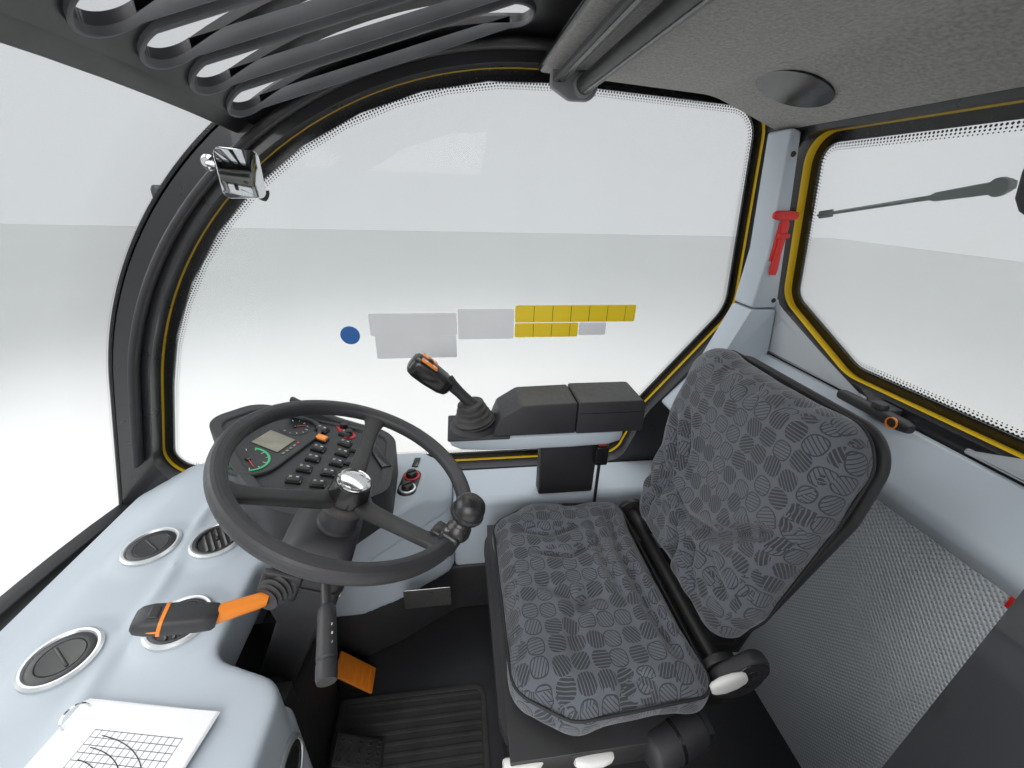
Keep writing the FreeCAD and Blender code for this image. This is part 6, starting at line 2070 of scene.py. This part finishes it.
def makeRoofCover():
    n = outsideSettings
    cover = softened("roof_cover", 0.007, 4)
    across = (bend["paneHalf"] ** 2 + bend["bow"] ** 2) / (2 * bend["bow"])
    parts = [cover]
    for x in n["ribs"]:
        tilt = math.degrees(math.asin(x / across))
        z = roofZ(n["coverRadius"] + crown(x), 0.56)
        outline = [(-n["ribWidth"] / 2, -n["ribLength"] / 2, 0.024),
                   (n["ribWidth"] / 2, -n["ribLength"] / 2, 0.024),
                   (n["ribWidth"] / 2, n["ribLength"] / 2, 0.024),
                   (-n["ribWidth"] / 2, n["ribLength"] / 2, 0.024)]
        rib = loft([[Vector((u, v, level)) for u, v in roundCorners(grown(outline, g), 6)]
                    for level, g in ((-0.004, 0.003), (0.001, 0.001), (0.004, -0.002),
                                     (0.0062, -0.007), (0.0068, -0.013))])
        parts.append(placed(rib, Matrix.Translation((x, 0.56, z))
                            @ Matrix.Rotation(math.radians(bend["roof"] - 90), 4, "X")
                            @ Matrix.Rotation(math.radians(tilt), 4, "Y")))
    for x, y in ((-0.44, 0.33), (0.44, 0.33), (-0.44, 0.78), (0.44, 0.78)):
        z = roofZ(n["coverRadius"] + crown(x), y)
        bolt = turned([(0, 0), (0.011, 0), (0.0108, 0.0015), (0.0085, 0.0045), (0.003, 0.0062),
                       (0, 0.0064)], (x, y, z - 0.0006), (x / across, 0.047, 1), 24)
        parts.append(bolt)
    # closing strip between the rear wall's top and the cover's crowned underside
    rows = []
    for y in (0.736, 0.744):
        edge = [Vector((x, y, roofZ(n["coverRadius"] - 0.0215 + crown(x), y)))
                for x in spread(-0.486, 0.486, 25)]
        rows.append(edge + [Vector((0.486, y, 1.566)), Vector((-0.486, y, 1.566))])
    parts.append(loft(rows))
    setMaterials(joinAll(parts), finish["roofShell"])
    finishPiece(bpy.context.view_layer.objects.active, "roofCoverShell", "cab",
                ["roof_cover"], angle=45)


def makeLamps():
    low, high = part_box("work_lamps")
    x, y, z = 0.540, (low[1] + high[1]) / 2 + 0.0025, (low[2] + high[2]) / 2
    case = tapered([(Vector((x, y + d, z)), Vector((0.0375 * w, 0, 0)), Vector((0, 0, 0.0345 * w)),
                     0.45) for d, w in ((0.037, 0.45), (0.035, 0.62), (0.026, 0.80), (0.008, 0.93),
                                        (-0.018, 0.985), (-0.033, 1.0), (-0.0365, 0.985))], 36)
    setMaterials(smooth(case, 50), finish["darkMoulding"])
    parts = [case]
    for k in range(4):
        fin = roundedBox((x, y + 0.022 - 0.011 * k, z), (0.078, 0.003, 0.072), 0.0012, 2)
        parts.append(setMaterials(fin, finish["darkMoulding"]))
    rim = sheetOf([roundCorners([(x - 0.0375, z - 0.0345, 0.014), (x + 0.0375, z - 0.0345, 0.014),
                                 (x + 0.0375, z + 0.0345, 0.014), (x - 0.0375, z + 0.0345, 0.014)], 6),
                   roundCorners([(x - 0.0318, z - 0.0288, 0.010), (x + 0.0318, z - 0.0288, 0.010),
                                 (x + 0.0318, z + 0.0288, 0.010), (x - 0.0318, z + 0.0288, 0.010)],
                                6)], "XZ", y - 0.0372, y - 0.033, 0.001, 2)
    parts.append(setMaterials(rim, finish["darkMoulding"]))
    reflector = turned([(0, 0.010), (0.010, 0.0085), (0.019, 0.005), (0.0275, 0.0), (0.0275, -0.001),
                        (0.0, 0.0085)], (x, y - 0.0345, z), (0, 1, 0), 40)
    parts.append(setMaterials(reflector, finish["mirrorSilver"]))
    bulb = turned([(0, -0.004), (0.004, -0.003), (0.0058, 0.0), (0.0058, 0.004), (0, 0.005)],
                  (x, y - 0.031, z), (0, 1, 0), 24)
    parts.append(setMaterials(bulb, finish["lensClear"]))
    lens = prism(roundCorners([(x - 0.0322, z - 0.0292, 0.010), (x + 0.0322, z - 0.0292, 0.010),
                               (x + 0.0322, z + 0.0292, 0.010), (x - 0.0322, z + 0.0292, 0.010)], 6),
                 "XZ", y - 0.0362, y - 0.0352)
    parts.append(setMaterials(lens, finish["clearGlass"]))
    foot = roundedBox((x - 0.0438, y, z), (0.0124, 0.038, 0.032), 0.003, 3)
    pivot = turned([(0, 0), (0.009, 0), (0.009, 0.004), (0.0035, 0.0055), (0, 0.0055)],
                   (x - 0.044, y, z + 0.0155), (0, 0, 1), 6)
    parts += [setMaterials(foot, finish["seatSteel"]), setMaterials(pivot, finish["plainSteel"])]
    lamp = joinAll(parts)
    twin = copied(lamp, Matrix.Scale(-1, 4, (1, 0, 0)))
    editAll(twin)
    bpy.ops.mesh.normals_make_consistent(inside=False)
    objectMode()
    finishPiece(joinAll([lamp, twin]), "workLampPair", "cab", ["work_lamps"],
                angle=40)


def wiperOf(place, pivot, tip, near, far, lift):
    # pivot cap, sprung arm and a rubber blade that lies on the pane
    parts = []
    out = (place(*pivot, 0.03) - place(*pivot, 0.0)).normalized()
    boss = turned([(0, 0.0015), (0.0135, 0.0015), (0.0135, 0.008), (0.0105, 0.012), (0.0105, 0.018),
                   (0.0085, 0.0215), (0, 0.022)], place(*pivot, 0.0), out, 32)
    a, b = place(*pivot, 0.0165), place(*tip, lift)
    run = b - a
    wide = run.normalized().cross(out)
    arm = tapered([(a + run * t, wide * w, out * h, 0.5)
                   for t, w, h in ((-0.03, 0.006, 0.004), (0.0, 0.0095, 0.0055), (0.12, 0.009, 0.0055),
                                   (0.30, 0.0075, 0.0048), (0.33, 0.0042, 0.003), (0.97, 0.0036, 0.0024),
                                   (1.0, 0.003, 0.002))], 14)
    ends = [place(near[0] + (far[0] - near[0]) * t, near[1] + (far[1] - near[1]) * t, 0.0)
            for t in spread(0, 1, 9)]
    lip = tube([p + out * 0.0032 for p in ends], 0.0024, 2)
    spine = tube([p + out * 0.0068 for p in ends], 0.0030, 2)
    clip = roundedBox((0, 0, 0), (0.016, 0.03, 0.011), 0.002, 2)
    facing = Matrix((wide, run.normalized(), -out)).transposed().to_4x4()
    placed(clip, Matrix.Translation(place(*tip, 0.0095)) @ facing)
    for part in (boss, arm, spine, clip):
        setMaterials(part, finish["blackPaint"])
    setMaterials(lip, finish["sealRubber"])
    return [boss, smooth(arm, 50), lip, spine, clip]


def makeWipers():
    def offScreen(x, reach, off):
        return Vector((x, *screenPoint(1.026 + crown(x) + off, reach)))

    def offRear(x, up, off):
        return onRear @ Vector((x, 0.006 + off, up))

    parts = wiperOf(offScreen, (0.3, 0.35), (0.3, -0.02), (0.3, 0.17), (0.3, -0.20), 0.0115)
    parts += wiperOf(offRear, (-0.03, 0.38), (-0.34, 0.327), (-0.15, 0.3585), (-0.355, 0.324), 0.0105)
    finishPiece(joinAll(parts), "wiperArmsAndBlades", "cab", ["wipers"], angle=45)


def sealDoorway():
    points = [Vector((0.4925, u, v)) for u, v in roundCorners(grown(doorway, 0.011), 6)]
    bulb = tube(points, 0.0029, 3, cyclic=True)
    lip = sheetOf([roundCorners(grown(doorway, 0.0165), 6), roundCorners(grown(doorway, 0.0005), 6)],
                  "YZ", 0.4897, 0.4912, 0.0005, 1)
    setMaterials(bulb, finish["sealRubber"])
    setMaterials(lip, finish["sealRubber"])
    finishPiece(joinAll([bulb, lip]), "doorwaySeal", "cab", angle=50)


makeRoofCover()
makeLamps()
makeWipers()
sealDoorway()
print("outside fittings made")
